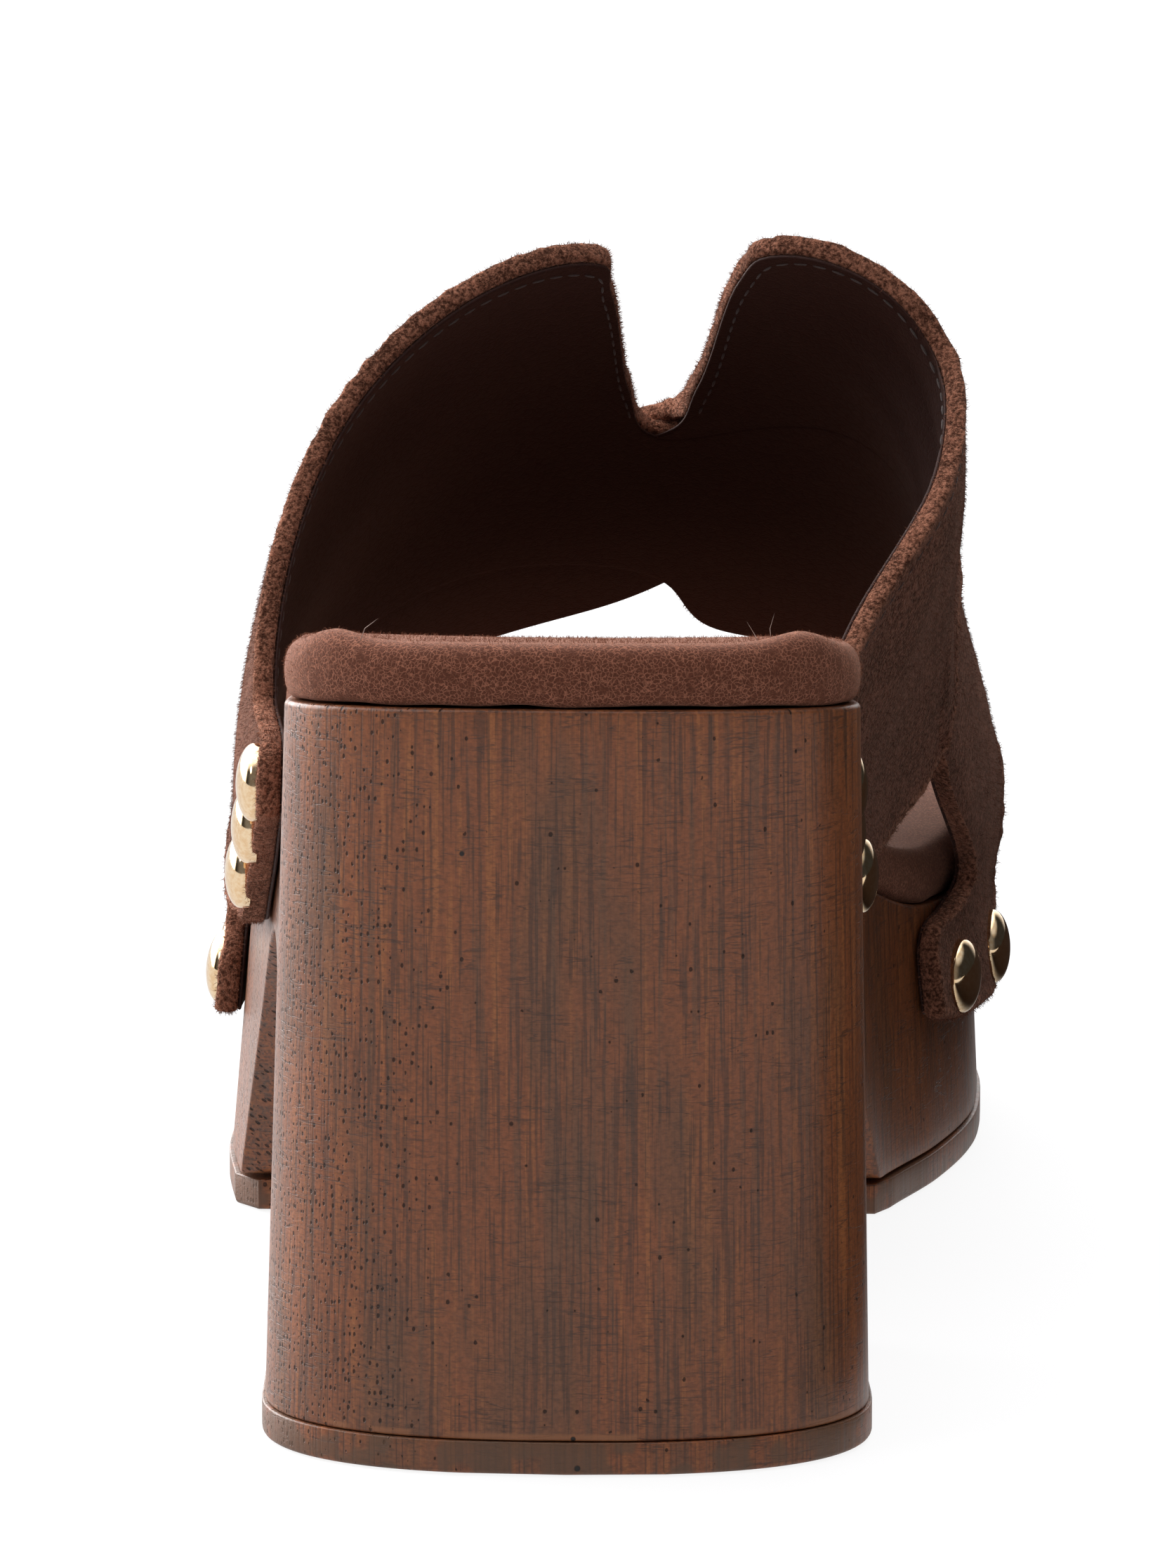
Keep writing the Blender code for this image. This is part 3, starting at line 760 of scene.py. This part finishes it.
def buildBlock():
    heel, toe = endStations(block["endSteps"])
    under, into = undersideLine()
    footY = np.concatenate([heel, under[:, 0], toe])
    footZ = np.concatenate([np.full(len(heel), sole["tread"] + seatGap), under[:, 1],
                            treadZ(toe) + sole["tread"] + seatGap])
    flat = np.array([0.0, 1.0])
    into = np.vstack([np.tile(flat, (len(heel), 1)), into, np.tile(flat, (len(toe), 1))])
    share = np.linspace(0, 1, len(under) + 2)[1:-1]
    middle = sole["heelRound"] + (sole["toeStart"] - sole["heelRound"]) * share
    headY = np.concatenate([heel, middle, toe])
    rings = []

    def addRing(y, z, inset):
        loop = outline(y)
        rise = aroundLoop(sideShare(y, z))
        rings.append(ringAt(loop, flareOf(loop) * rise - inset, aroundLoop(z)))

    for lack, short in quarterTurn(4):
        shift = block["edge"] * lack
        addRing(footY + into[:, 0] * shift, footZ + into[:, 1] * shift, block["edge"] * short)
    startY = footY + into[:, 0] * block["edge"]
    startZ = footZ + into[:, 1] * block["edge"]
    for row in np.linspace(0, 1, block["rows"] + 1)[1:]:
        y = startY + (headY - startY) * row
        z = startZ + (topZ(headY) - block["topEdge"] - startZ) * row
        addRing(y, z, 0.0)
    for lack, short in quarterTurn(5)[1:]:
        addRing(headY, topZ(headY) - block["topEdge"] * short, block["topEdge"] * lack)
    piece = loftPiece("platformBlock", rings)
    return dress(piece, woodFinish, "wood_look", "platform_block")


tread = {
    "step": 0.4,
    "underEdge": 0.6,
    "lip": 0.2,
    "rise": 0.18,
    "endSteps": 30,
    "spacing": 2.0,
}


def buildTread(name, first, last, node):
    heel, toe = endStations(tread["endSteps"])
    middle = np.arange(sole["heelRound"] + tread["spacing"], sole["toeStart"], tread["spacing"])
    ys = np.concatenate([heel, middle, toe])
    ys = np.concatenate([[first], ys[(ys > first + 0.4) & (ys < last - 0.4)], [last]])
    loop = outline(ys)
    foot = treadZ(loop[:, 1])
    proud = flareOf(loop) + tread["step"]
    top = foot + sole["tread"] + tread["rise"]
    rings = []
    for lack, short in quarterTurn(5):
        rings.append(ringAt(loop, proud - tread["underEdge"] * short, foot + tread["underEdge"] * lack))
    for lack, short in quarterTurn(4):
        rings.append(ringAt(loop, proud - tread["lip"] * lack, top - tread["lip"] * short))
    return dress(loftPiece(name, rings), treadFinish, "tread_rubber", node)


buildBlock()
buildTread("heelLift", 0.0, block["breast"] - sole["medialFlare"], "heel_lift")
buildTread("forefootOutsole", block["forefoot"] + sole["medialFlare"], sole["length"], "forefoot_outsole")
print("sole unit is built")


# insole pad

pad = {
    "thickness": 6.5,
    "dish": 0.5,
    "spine": (34.0, 196.0),
    "rimSteps": 22,
    "lowerPower": 0.42,
    "upperPower": 0.72,
    "fibres": 12000,
    "fibreLength": (0.25, 0.65),
    "fibreRadius": 0.022,
    "fuzzSeed": 41,
    "fuzzRear": (52.0, 30.0),
    "fuzzAhead": 0.05,
    "fuzzAbove": 0.8,
    "hairRadius": 0.06,
    "hairs": columns("x y length lean", [
        (-23.6, 6.5, 4.1, 0.35), (22.4, 7.0, 3.7, -0.5), (23.6, 8.0, 4.3, -0.1),
    ]),
    "shares": (0.94, 0.86, 0.76, 0.64, 0.50, 0.34, 0.18),
    "cornerLift": 1.4,
    "plush": 0.65,
    "settle": 0.2,
    "sag": 0.22,
    "sagPitch": 5.0,
    "sagSeed": 31,
    "cornerAt": (30.0, 7.0),
    "cornerReach": 5.8,
    "pucker": 0.10,
    "puckerPitch": 2.7,
    "puckerDrift": 1.3,
    "driftPitch": 1 / 0.21,
    "endSteps": 40,
    "spacing": 1.6,
}


def cornerSwell(x, y):
    # the rear corners of the pad stand a little proud
    atX, atY = pad["cornerAt"]
    return np.exp(-((np.abs(x) - atX) ** 2 + (y - atY) ** 2) / pad["cornerReach"] ** 2)


def buildPad():
    heel, toe = endStations(pad["endSteps"])
    middle = np.arange(sole["heelRound"] + pad["spacing"], sole["toeStart"], pad["spacing"])
    ys = np.concatenate([heel, middle, toe[1:]])
    loop = outline(ys)
    gone = distanceAlong(loop)
    base = topZ(loop[:, 1]) + seatGap - pad["settle"]
    radius = pad["thickness"] / 2
    swell = cornerSwell(loop[:, 0], loop[:, 1])
    drift = pad["puckerDrift"] * np.sin(gone / pad["driftPitch"])
    ripple = np.sin(gone / pad["puckerPitch"] * 2 * math.pi + drift)
    sag = pad["sag"] * lumps(np.column_stack([loop, base]), pad["sagPitch"], pad["sagSeed"])
    rings = []
    for turn in np.linspace(-math.pi / 2, math.pi / 2, pad["rimSteps"] + 1):
        up = (1 + math.sin(turn)) / 2
        power = pad["lowerPower"] if turn < 0 else pad["upperPower"]
        puff = abs(math.cos(turn)) ** power
        pull = pad["pucker"] * ripple * max(0.0, -math.sin(turn)) * math.cos(turn)
        height = base + pad["thickness"] * up + sag * (1 - ease(up))
        height = height + (swell * pad["cornerLift"] + pad["plush"]) * ease(up)
        rings.append(ringAt(loop, radius * (puff - 1) + pull, height))
    rim = rings[-1]
    spineY = np.clip(loop[:, 1], *pad["spine"])
    spineX = (edgeX(spineY, medial) + edgeX(spineY, lateral)) / 2
    spine = np.column_stack([spineX, spineY])
    for share in pad["shares"]:
        flat = spine + (rim[:, :2] - spine) * share
        height = topZ(flat[:, 1]) + seatGap + pad["thickness"] - pad["dish"] * (1 - share ** 2)
        height = height + cornerSwell(flat[:, 0], flat[:, 1]) * pad["cornerLift"] + pad["plush"]
        rings.append(np.column_stack([flat, height]))
    piece = dress(loftPiece("insolePad", rings, 60.0), padFinish, "insole_leather", "insole_pad")
    return piece


def buildPadFuzz(piece):
    # short fibres over the leather, most of them round its rear end, and a few stray hairs
    spots = readEach(piece.data.vertices, "co", 3) / mm + footMiddle
    rearFrom, rearRun = pad["fuzzRear"]
    weights = pad["fuzzAhead"] + np.clip((rearFrom - spots[:, 1]) / rearRun, 0, 1)
    weights = weights * (spots[:, 2] > topZ(spots[:, 1]) + pad["fuzzAbove"])
    roots, normal, rng = scatterOn(piece, weights, pad["fibres"], pad["fuzzSeed"])
    ways = normal * 0.5 + rng.normal(0, 0.6, normal.shape)
    tips = normal * 0.25 + rng.normal(0, 0.7, normal.shape)
    lengths = rng.uniform(*pad["fibreLength"], len(roots))
    fuzz = fibrePiece("insoleFuzz", roots, ways, tips, lengths, pad["fibreRadius"])
    dress(fuzz, padFibreFinish, "insole_leather")
    x, y, lengths, lean = pad["hairs"].values()
    z = topZ(y) + seatGap + pad["thickness"] + pad["cornerLift"] * 0.3
    back = np.full(len(x), -0.2)
    up = np.ones(len(x))
    ways = np.column_stack([lean, back, up])
    tips = np.column_stack([lean * 2.2 + 0.5, back, up])
    roots = toFrame(np.column_stack([x, y, z]))
    hairs = fibrePiece("strayHairs", roots, ways, tips, lengths, pad["hairRadius"])
    dress(hairs, hairFinish, "insole_leather")


buildPadFuzz(buildPad())
print("insole pad is built")


# instep and straps

instep = {
    "lateralShoulder": 0.68,
    "medialShoulder": 0.52,
    "lateralPower": 1.93,
    "medialPower": 2.9,
    "tabDepth": 14.6,
    "liftOff": 5.0,
    "rows": columns("y lateral lateralZ medial medialZ ridgeX ridgeZ", [
        (55, 35.2, 88, 31, 98, 10, 139), (82, 37.8, 72, 33, 98, 10.5, 137),
        (98, 40.3, 64, 41, 99, 10.5, 133), (112, 42.2, 56, 42.4, 97, 10, 125.5),
        (130, 43.2, 45, 40.2, 70, 9, 112), (150, 45.4, 38.5, 43.6, 50, 7, 96),
        (170, 44.8, 37.5, 46, 42, 6, 79), (197, 42.6, 39, 46.8, 38, 5, 59),
    ]),
}
# ribs across a strap from its rear end to its front end; girth 0 is the ridge, 1 the rear strap end
ribColumns = "backY backGirth frontY frontGirth"
overStrap = {
    "side": medial,
    "ribs": columns(ribColumns, [
        (57, 1, 96, 1), (60, 0.88, 104, 0.93), (76, 0.72, 117.5, 0.858), (91, 0.57, 126, 0.752),
        (104, 0.46, 132, 0.637), (112.5, 0.34, 133, 0.536), (114, 0.13, 134.5, 0.454),
        (121, 0.073, 146, 0.345), (142, 0.033, 162, 0.206), (152, -0.015, 176, 0.064),
        (156, -0.25, 188, -0.08), (165, -0.5, 191.5, -0.36), (161, -0.64, 190, -0.62),
        (152, -0.78, 188, -0.79), (147, -0.88, 186, -0.89), (146, -1, 181, -1),
    ]),
}
underStrap = {
    "side": lateral,
    "ribs": columns(ribColumns, [
        (57, 1, 96, 1), (60, 0.88, 108, 0.93), (70, 0.76, 121, 0.85), (84, 0.57, 136, 0.77),
        (95, 0.43, 150, 0.68), (104, 0.29, 161, 0.56), (114, 0.091, 166, 0.42),
        (122, 0.066, 170, 0.26), (142, 0.04, 176, 0.1), (152, -0.01, 181.5, 0),
        (142, -0.237, 193.5, -0.06), (131, -0.422, 196.5, -0.238), (129, -0.57, 196, -0.358),
        (135, -0.604, 195, -0.426), (145, -0.614, 194, -0.482), (153, -0.63, 192, -0.566),
        (156, -0.684, 190, -0.655), (150, -0.767, 188, -0.742), (145, -0.818, 186.5, -0.815),
        (143, -0.886, 184, -0.887), (144, -1, 181, -1),
    ]),
}
upper = {
    "thickness": 2.3,
    "lining": 0.55,
    "liningInset": 0.45,
    "stack": 1.9,
    "climb": 10.0,
    "tuck": 3.0,
    "skive": 1.2,  # where the straps cross on the inner side
    "skiveFrom": (0.22, 0.16),
    "edgeRound": 0.75,
    "edgePower": 2.4,
    "edgeSteps": (0.0, 0.06, 0.18, 0.36, 0.60, 0.95, 1.5, 2.4, 3.6),
    "acrossSteps": 30,
    "suedeSteps": 390,
    "liningSteps": 150,
    "pile": 0.30,
    "tabPile": 0.40,
    "tabFrom": (0.84, 0.08),
    "edgePile": 0.45,
    "edgeReach": 1.8,
    "rawGrow": 0.25,
    "growReach": 1.5,
    "rawLumps": 0.22,
    "rawWaves": ((0.75, 5, 0.65), (1.725, 6, 0.5)),  # pitch, seed and share
    "liningStep": 0.05,
    "creaseGirth": 0.14,
    "liningCreases": columns("y girth depth width", [
        (103, 0.43, 0.40, 1.4), (107.5, 0.40, 0.55, 1.5), (113, 0.38, 0.50, 1.5), (119, 0.42, 0.40, 1.8),
        (127, 0.36, 0.30, 2.2),
    ]),
    "rawFibres": 15000,
    "rawLength": (0.30, 0.95),
    "napFibres": 13500,
    "napLength": (0.35, 0.75),
    "fibreRadius": 0.030,
    "stitchPitch": 2.4,
    "stitchLength": 1.65,
    "stitchRadius": 0.15,
    "stitchInset": 3.0,
    "stitchDepth": 0.04,
    "liningRun": (1.0, 8.4),  # first and last rib of the stitches
    "suedeRun": (1.0, 5.8),
}

stud = {
    "diameter": 9.4,
    "height": 2.6,
    "skirt": 0.45,
    "sink": 0.6,
    "bevel": 0.12,
    "drop": 9.4,
    "lift": 0.1,
    "clear": (4.2, 2.2),  # the pile starts this far from a middle and rises over this much
    "proud": {"rear": 0.8, "front": 0.1},
    "rear": {lateral: (64.5, 79.5, 93.5), medial: (64.5, 79.5, 93.5)},
    "front": {lateral: (154.0, 170.0), medial: (152.5, 173.0)},
}


def studPlaces():
    for side in (lateral, medial):
        for end in ("rear", "front"):
            for number, y in enumerate(stud[end][side], 1):
                yield end, side, number, y


def studSeat(y, side):
    z = topZ(y) - stud["drop"]
    step = 1.0
    base = np.array([sideX(y, z, side), y, z])
    along = np.array([sideX(y + step, z, side) - sideX(y - step, z, side), 2 * step, 0])
    up = np.array([sideX(y, z + step, side) - sideX(y, z - step, side), 0, 2 * step])
    normal = unit(np.cross(along, up) * side)
    return base + normal * (seatGap + upper["thickness"] + stud["lift"]), normal


def studClear(points):
    # 0 under a stud, 1 clear of it
    nearest = np.full(points.shape[:-1], np.inf)
    for end, side, number, y in studPlaces():
        nearest = np.minimum(nearest, np.linalg.norm(points - studSeat(y, side)[0], axis=-1))
    return started(nearest, stud["clear"])


def lastPoint(y, girth):
    # inside of the upper, on the instep or down the side of the sole
    inner = girth >= 0
    side = np.where(inner, medial, lateral)
    rows = instep["rows"]
    shoulder = np.where(inner, instep["medialShoulder"], instep["lateralShoulder"])
    power = np.where(inner, instep["medialPower"], instep["lateralPower"])
    wideX = np.where(inner, curveAt(rows, "medial", y), -curveAt(rows, "lateral", y))
    wideZ = np.where(inner, curveAt(rows, "medialZ", y), curveAt(rows, "lateralZ", y))
    ridgeX = curveAt(rows, "ridgeX", y)
    ridgeZ = curveAt(rows, "ridgeZ", y)
    reach = np.abs(girth)
    turn = np.clip(reach / shoulder, 0, 1) * math.pi / 2
    radius = (np.sin(turn) ** power + np.cos(turn) ** power) ** (-1 / power)
    arcX = ridgeX + (wideX - ridgeX) * radius * np.sin(turn)
    arcZ = wideZ + (ridgeZ - wideZ) * radius * np.cos(turn)
    down = np.clip((reach - shoulder) / (1 - shoulder), 0, 1)
    rimZ = topZ(y)
    wallZ = wideZ + (rimZ - instep["tabDepth"] - wideZ) * down
    leaveZ = rimZ - instep["liftOff"]
    swell = ease((wallZ - leaveZ) / (wideZ - leaveZ))
    footX = np.where(inner, sideX(y, wallZ, medial), sideX(y, wallZ, lateral)) + side * seatGap
    wallX = footX + (wideX - footX) * swell
    onWall = reach > shoulder
    x = np.where(onWall, wallX, arcX)
    z = np.where(onWall, wallZ, arcZ)
    return np.stack([x, np.broadcast_to(y, x.shape), z], axis=-1)


def lastNormal(y, girth):
    stepY = 0.5
    stepGirth = 0.004
    along = lastPoint(y + stepY, girth) - lastPoint(y - stepY, girth)
    around = lastPoint(y, girth + stepGirth) - lastPoint(y, girth - stepGirth)
    return unit(np.cross(around, along))


def ribAt(strap, column, at):
    ribs = strap["ribs"]
    numbered = {"rib": np.arange(len(ribs[column])), column: ribs[column]}
    return curveAt(numbered, column, at, key="rib")


def strapPlace(strap, at, share):
    # y and girth at a place along the strap and a share of its width
    def between(what):
        back = ribAt(strap, "back" + what, at)
        front = ribAt(strap, "front" + what, at)
        return back + (front - back) * share

    return between("Y"), strap["side"] * np.clip(between("Girth"), -1, 1)


def strapWidths(strap, at):
    share = np.linspace(0, 1, 13)[None, :]
    points = lastPoint(*strapPlace(strap, at[:, None], share))
    return np.linalg.norm(np.diff(points, axis=1), axis=2).sum(1)


def edgeOf(strap, edge, girth):
    ribs = strap["ribs"]
    return np.interp(girth * strap["side"], ribs[edge + "Girth"][::-1], ribs[edge + "Y"][::-1])


def onTopOf(other, y, girth, run):
    # 0 clear of the other strap, 1 on top of it
    behind = edgeOf(other, "back", girth)
    ahead = edgeOf(other, "front", girth)
    return ease((y - behind) / run + 1) * ease((ahead - y) / run + 1)


def closerAtEnds(lengths, steps):
    # distances along each length, closer together at its two ends
    near = np.array(upper["edgeSteps"])
    lengths = np.reshape(lengths, (-1, 1))
    body = near[-1] + (lengths - 2 * near[-1]) * np.linspace(0, 1, steps)
    start = np.tile(near[:-1], (len(lengths), 1))
    return np.concatenate([start, body, lengths - start[:, ::-1]], axis=1)


def strapStations(strap, inset, steps):
    # places along the strap, and how far each is from the nearer end
    ribs = len(strap["ribs"]["backY"]) - 1
    rough = np.linspace(0, ribs, ribs * 12 + 1)
    middle = lastPoint(*strapPlace(strap, rough, 0.5))
    gone = distanceAlong(middle)
    along = closerAtEnds(gone[-1] - 2 * inset, steps)[0]
    return np.interp(along + inset, gone, rough), np.minimum(along, along[-1] - along)


def edgeFall(distance):
    reach = np.clip(distance / upper["edgeRound"], 0, 1)
    return (1 - (1 - reach) ** upper["edgePower"]) ** (1 / upper["edgePower"])


def strapSheet(strap, inset, steps):
    # y, girth, how thick the rounded edge is and the distance to it, inset from the strap's edges
    at, fromEnd = strapStations(strap, inset, steps)
    width = strapWidths(strap, at)
    across = closerAtEnds(width - 2 * inset, upper["acrossSteps"] + 1)
    y, girth = strapPlace(strap, at[:, None], (across + inset) / width[:, None])
    fromSide = np.minimum(across, across[:, ::-1])
    fall = edgeFall(fromSide) * edgeFall(fromEnd)[:, None]
    return y, girth, fall, np.minimum(fromSide, fromEnd[:, None])


def wallPiece(name, base, normal, low, high, fall, **marks):
    # closes the two faces of a strap into one wall, with marks for its outside and inside
    middle = (low + high) / 2
    half = (high - low) / 2 * fall
    over = base + normal * (middle + half)[..., None]
    below = base + normal * (middle - half)[..., None]
    piece = gridPiece(name, np.concatenate([over, below[:, -2::-1]], axis=1))
    for title, (outside, inside) in marks.items():
        values = np.concatenate([outside, inside[:, -2::-1]], axis=1)
        mark = piece.data.attributes.new(title, 'FLOAT', 'POINT')
        mark.data.foreach_set("value", values.astype(np.float32).ravel())
    return closeUp(piece, 70.0)


def strapSuede(name, strap, other):
    # thick suede with a raised pile, swollen and uneven along its raw edges
    y, girth, fall, distance = strapSheet(strap, 0.0, upper["suedeSteps"])
    base = lastPoint(y, girth)
    low = np.full_like(y, upper["lining"])
    high = np.full_like(y, upper["thickness"] + upper["pile"])
    covered = np.zeros_like(y)
    thinned = upper["skive"] * started(girth, upper["skiveFrom"])
    if strap is overStrap:
        low = low + (upper["stack"] - thinned) * onTopOf(other, y, girth, upper["tuck"])
        high = high + (upper["stack"] - thinned) * onTopOf(other, y, girth, upper["climb"])
    else:
        covered = onTopOf(other, y, girth, 1.0)
        high = high - thinned * onTopOf(other, y, girth, upper["tuck"])
    high = high + upper["tabPile"] * started(np.abs(girth), upper["tabFrom"]) * studClear(base)
    near = np.exp(-(distance / upper["edgeReach"]) ** 2)
    uneven = sum(lumps(base, pitch, seed) * share for pitch, seed, share in upper["rawWaves"])
    high = high + upper["edgePile"] * near * (1 - covered) + uneven * upper["rawLumps"] * (0.25 + near)
    grow = upper["rawGrow"] + upper["rawLumps"] * uneven
    grow = grow * np.clip(1 - distance / upper["growReach"], 0, 1)
    away = np.zeros_like(base)
    edge = len(upper["edgeSteps"])
    away[:, :edge] = base[:, :1] - base[:, edge:edge + 1]
    away[:, -edge:] = base[:, -1:] - base[:, -edge - 1:-edge]
    span = np.linalg.norm(away, axis=2)[..., None]
    away = away / np.where(span > 0, span, 1) * grow[..., None]
    return wallPiece(name, base + away, lastNormal(y, girth), low, high, fall,
                     edgeDistance=(distance, distance), bareOutside=(1 - covered, np.zeros_like(y)))


def strapLining(name, strap, other):
    # smooth leather inside, with a few soft upright creases
    y, girth, fall = strapSheet(strap, upper["liningInset"], upper["liningSteps"])[:3]
    low = np.zeros_like(y)
    if strap is overStrap:
        low = low + upper["liningStep"] * onTopOf(other, y, girth, 1.0)
    for at, around, depth, width in zip(*upper["liningCreases"].values()):
        aside = (girth - around) / upper["creaseGirth"]
        low = low + depth * np.exp(-((y - at) / width) ** 2 - aside ** 2)
    high = np.full_like(y, upper["lining"] - 0.02)
    return wallPiece(name, lastPoint(y, girth), lastNormal(y, girth), low, high, fall)


def readMark(piece, title):
    return readEach(piece.data.attributes[title].data, "value")[:, 0]


def buildStrapFuzz(name, piece, seed):
    # fibres on the raw edges, then shorter ones brushed down over the bare outside
    edge = readMark(piece, "edgeDistance")
    bare = readMark(piece, "bareOutside")

    def addFibres(ending, ways, tips, lengths, finish):
        fibres = fibrePiece(name + ending, roots, ways, tips, lengths, upper["fibreRadius"])
        dress(fibres, finish, "suede")

    roots, normal, rng = scatterOn(piece, np.exp(-(edge / 0.7) ** 2), upper["rawFibres"], seed)
    ways = normal + rng.normal(0, 0.45, normal.shape)
    tips = normal * 0.6 + rng.normal(0, 0.65, normal.shape) + np.array([0, 0, -0.15])
    lengths = upper["rawLength"][0] + rng.random(len(roots)) ** 2 * np.ptp(upper["rawLength"])
    addFibres("RawEdge", ways, tips, lengths, rawFibreFinish)
    roots, normal, rng = scatterOn(piece, bare * np.clip(edge - 0.3, 0, 1), upper["napFibres"], seed + 1)
    down = np.array([0.0, 0.35, -1.0])
    brushed = down - normal * (normal @ down)[:, None]
    ways = normal * 0.8 + brushed * 0.4 + rng.normal(0, 0.35, normal.shape)
    tips = normal * 0.3 + brushed * 0.8 + rng.normal(0, 0.35, normal.shape)
    addFibres("Nap", ways, tips, rng.uniform(*upper["napLength"], len(roots)), napFibreFinish)


def stitchRun(strap, run, height):
    # starts, middles and ends of stitches that follow the rear edge of a strap
    at = np.linspace(*run, 900)
    y, girth = strapPlace(strap, at, upper["stitchInset"] / strapWidths(strap, at))
    line = lastPoint(y, girth) + lastNormal(y, girth) * height
    gone = distanceAlong(line)
    stops = np.arange(upper["stitchPitch"], gone[-1] - upper["stitchPitch"], upper["stitchPitch"])
    reach = upper["stitchLength"] / 2

    def on(distance):
        return np.stack([np.interp(distance, gone, line[:, axis]) for axis in range(3)], axis=1)

    return on(stops - reach), on(stops), on(stops + reach)


def stitchPiece(name, runs):
    # spindle-shaped stitches, six-sided, closed at both ends
    starts, middles, ends = (np.concatenate(part) for part in zip(*runs))
    way = unit(ends - starts)
    sides = 6
    ring = ringsAround(way, np.array([0.2, 0.1, 1.0]), sides) * upper["stitchRadius"]
    reach = np.linalg.norm(ends - starts, axis=1)[:, None, None] / 2
    profile = ((-0.96, 0.35), (-0.7, 0.8), (-0.25, 1.0), (0.25, 1.0), (0.7, 0.8), (0.96, 0.35))
    rings = [middles[:, None] + way[:, None] * (reach * place) + ring * size for place, size in profile]
    vertices = toFrame(np.concatenate(rings + [starts[:, None], ends[:, None]], axis=1))
    total = vertices.shape[1]
    side = np.arange(sides)
    following = (side + 1) % sides
    rows = np.arange(len(profile) - 1)[:, None] * sides
    lower = [rows + side, rows + following]
    walls = np.stack(lower + [rows + sides + following, rows + sides + side], axis=-1)
    top = rows[-1] + sides
    caps = np.stack([np.stack([following, side, np.full(sides, total - 2)], axis=1),
                     np.stack([top + side, top + following, np.full(sides, total - 1)], axis=1)])
    base = np.arange(len(middles))[:, None, None] * total
    piece = meshPiece(name, vertices, walls.reshape(-1, 4) + base, caps.reshape(-1, 3) + base)
    pickOnly(piece)
    bpy.ops.object.shade_smooth()
    return piece


def buildUpper():
    for name, strap, other, seed in (("strapUnder", underStrap, overStrap, 11),
                                     ("strapOver", overStrap, underStrap, 23)):
        piece = dress(strapSuede(name, strap, other), suedeFinish, "suede", "upper")
        buildStrapFuzz(name, piece, seed)
    first = strapLining("lining", underStrap, overStrap)
    second = strapLining("liningOver", overStrap, underStrap)
    pickOnly(first)
    second.select_set(True)
    bpy.ops.object.join()
    dress(first, liningFinish, "insole_leather", "upper")
    straps = (overStrap, underStrap)
    inside = [stitchRun(strap, upper["liningRun"], -upper["stitchDepth"]) for strap in straps]
    dress(stitchPiece("liningStitches", inside), threadFinish, "insole_leather")
    face = upper["thickness"] + upper["pile"]
    outside = [stitchRun(strap, upper["suedeRun"], face) for strap in straps]
    dress(stitchPiece("suedeStitches", outside), seamFinish, "suede")


buildUpper()
print("upper is built")


# studs

def modelStud():
    # a sphere cut to a dome, with a short skirt below it
    pickOnly()
    radius = stud["diameter"] / 2 * mm
    bpy.ops.mesh.primitive_uv_sphere_add(segments=48, ring_count=32, radius=radius)
    piece = bpy.context.object
    bpy.ops.object.mode_set(mode='EDIT')
    bpy.ops.mesh.select_all(action='SELECT')
    bpy.ops.transform.resize(value=(1, 1, (stud["height"] - stud["skirt"]) * mm / radius))
    bpy.ops.mesh.bisect(plane_co=(0, 0, 0), plane_no=(0, 0, 1), clear_inner=True, use_fill=True)
    bpy.ops.mesh.select_all(action='DESELECT')
    bpy.ops.object.mode_set(mode='OBJECT')
    for face in piece.data.polygons:
        face.select = face.normal.z < -0.9
    bpy.ops.object.mode_set(mode='EDIT')
    below = -(stud["skirt"] + stud["sink"]) * mm
    bpy.ops.mesh.extrude_region_move(TRANSFORM_OT_translate={"value": (0, 0, below)})
    bpy.ops.mesh.select_all(action='SELECT')
    bpy.ops.mesh.normals_make_consistent(inside=False)
    bpy.ops.object.mode_set(mode='OBJECT')
    bevel = piece.modifiers.new("rimEdge", 'BEVEL')
    bevel.width = stud["bevel"] * mm
    bevel.segments = 3
    bevel.limit_method = 'ANGLE'
    bpy.ops.object.modifier_apply(modifier=bevel.name)
    bpy.ops.object.shade_smooth_by_angle(angle=math.radians(40))
    piece.data.transform(Matrix.Translation((0, 0, stud["skirt"] * mm)))
    return piece


def buildStuds():
    pattern = modelStud()
    for end, side, number, y in studPlaces():
        sideName = "medial" if side == medial else "lateral"
        seat, normal = studSeat(y, side)
        copy = pattern.copy()
        copy.data = pattern.data.copy()
        bpy.context.scene.collection.objects.link(copy)
        copy.name = f"stud{end.title()}{sideName.title()}{number}"
        turn = Vector(normal).to_track_quat('Z', 'Y').to_matrix().to_4x4()
        copy.data.transform(Matrix.Translation(toFrame(seat + normal * stud["proud"][end])) @ turn)
        dress(copy, brassFinish, "brass", f"stud_{end}_{sideName}_{number}")
    bpy.data.objects.remove(pattern)


buildStuds()
print("studs are built")
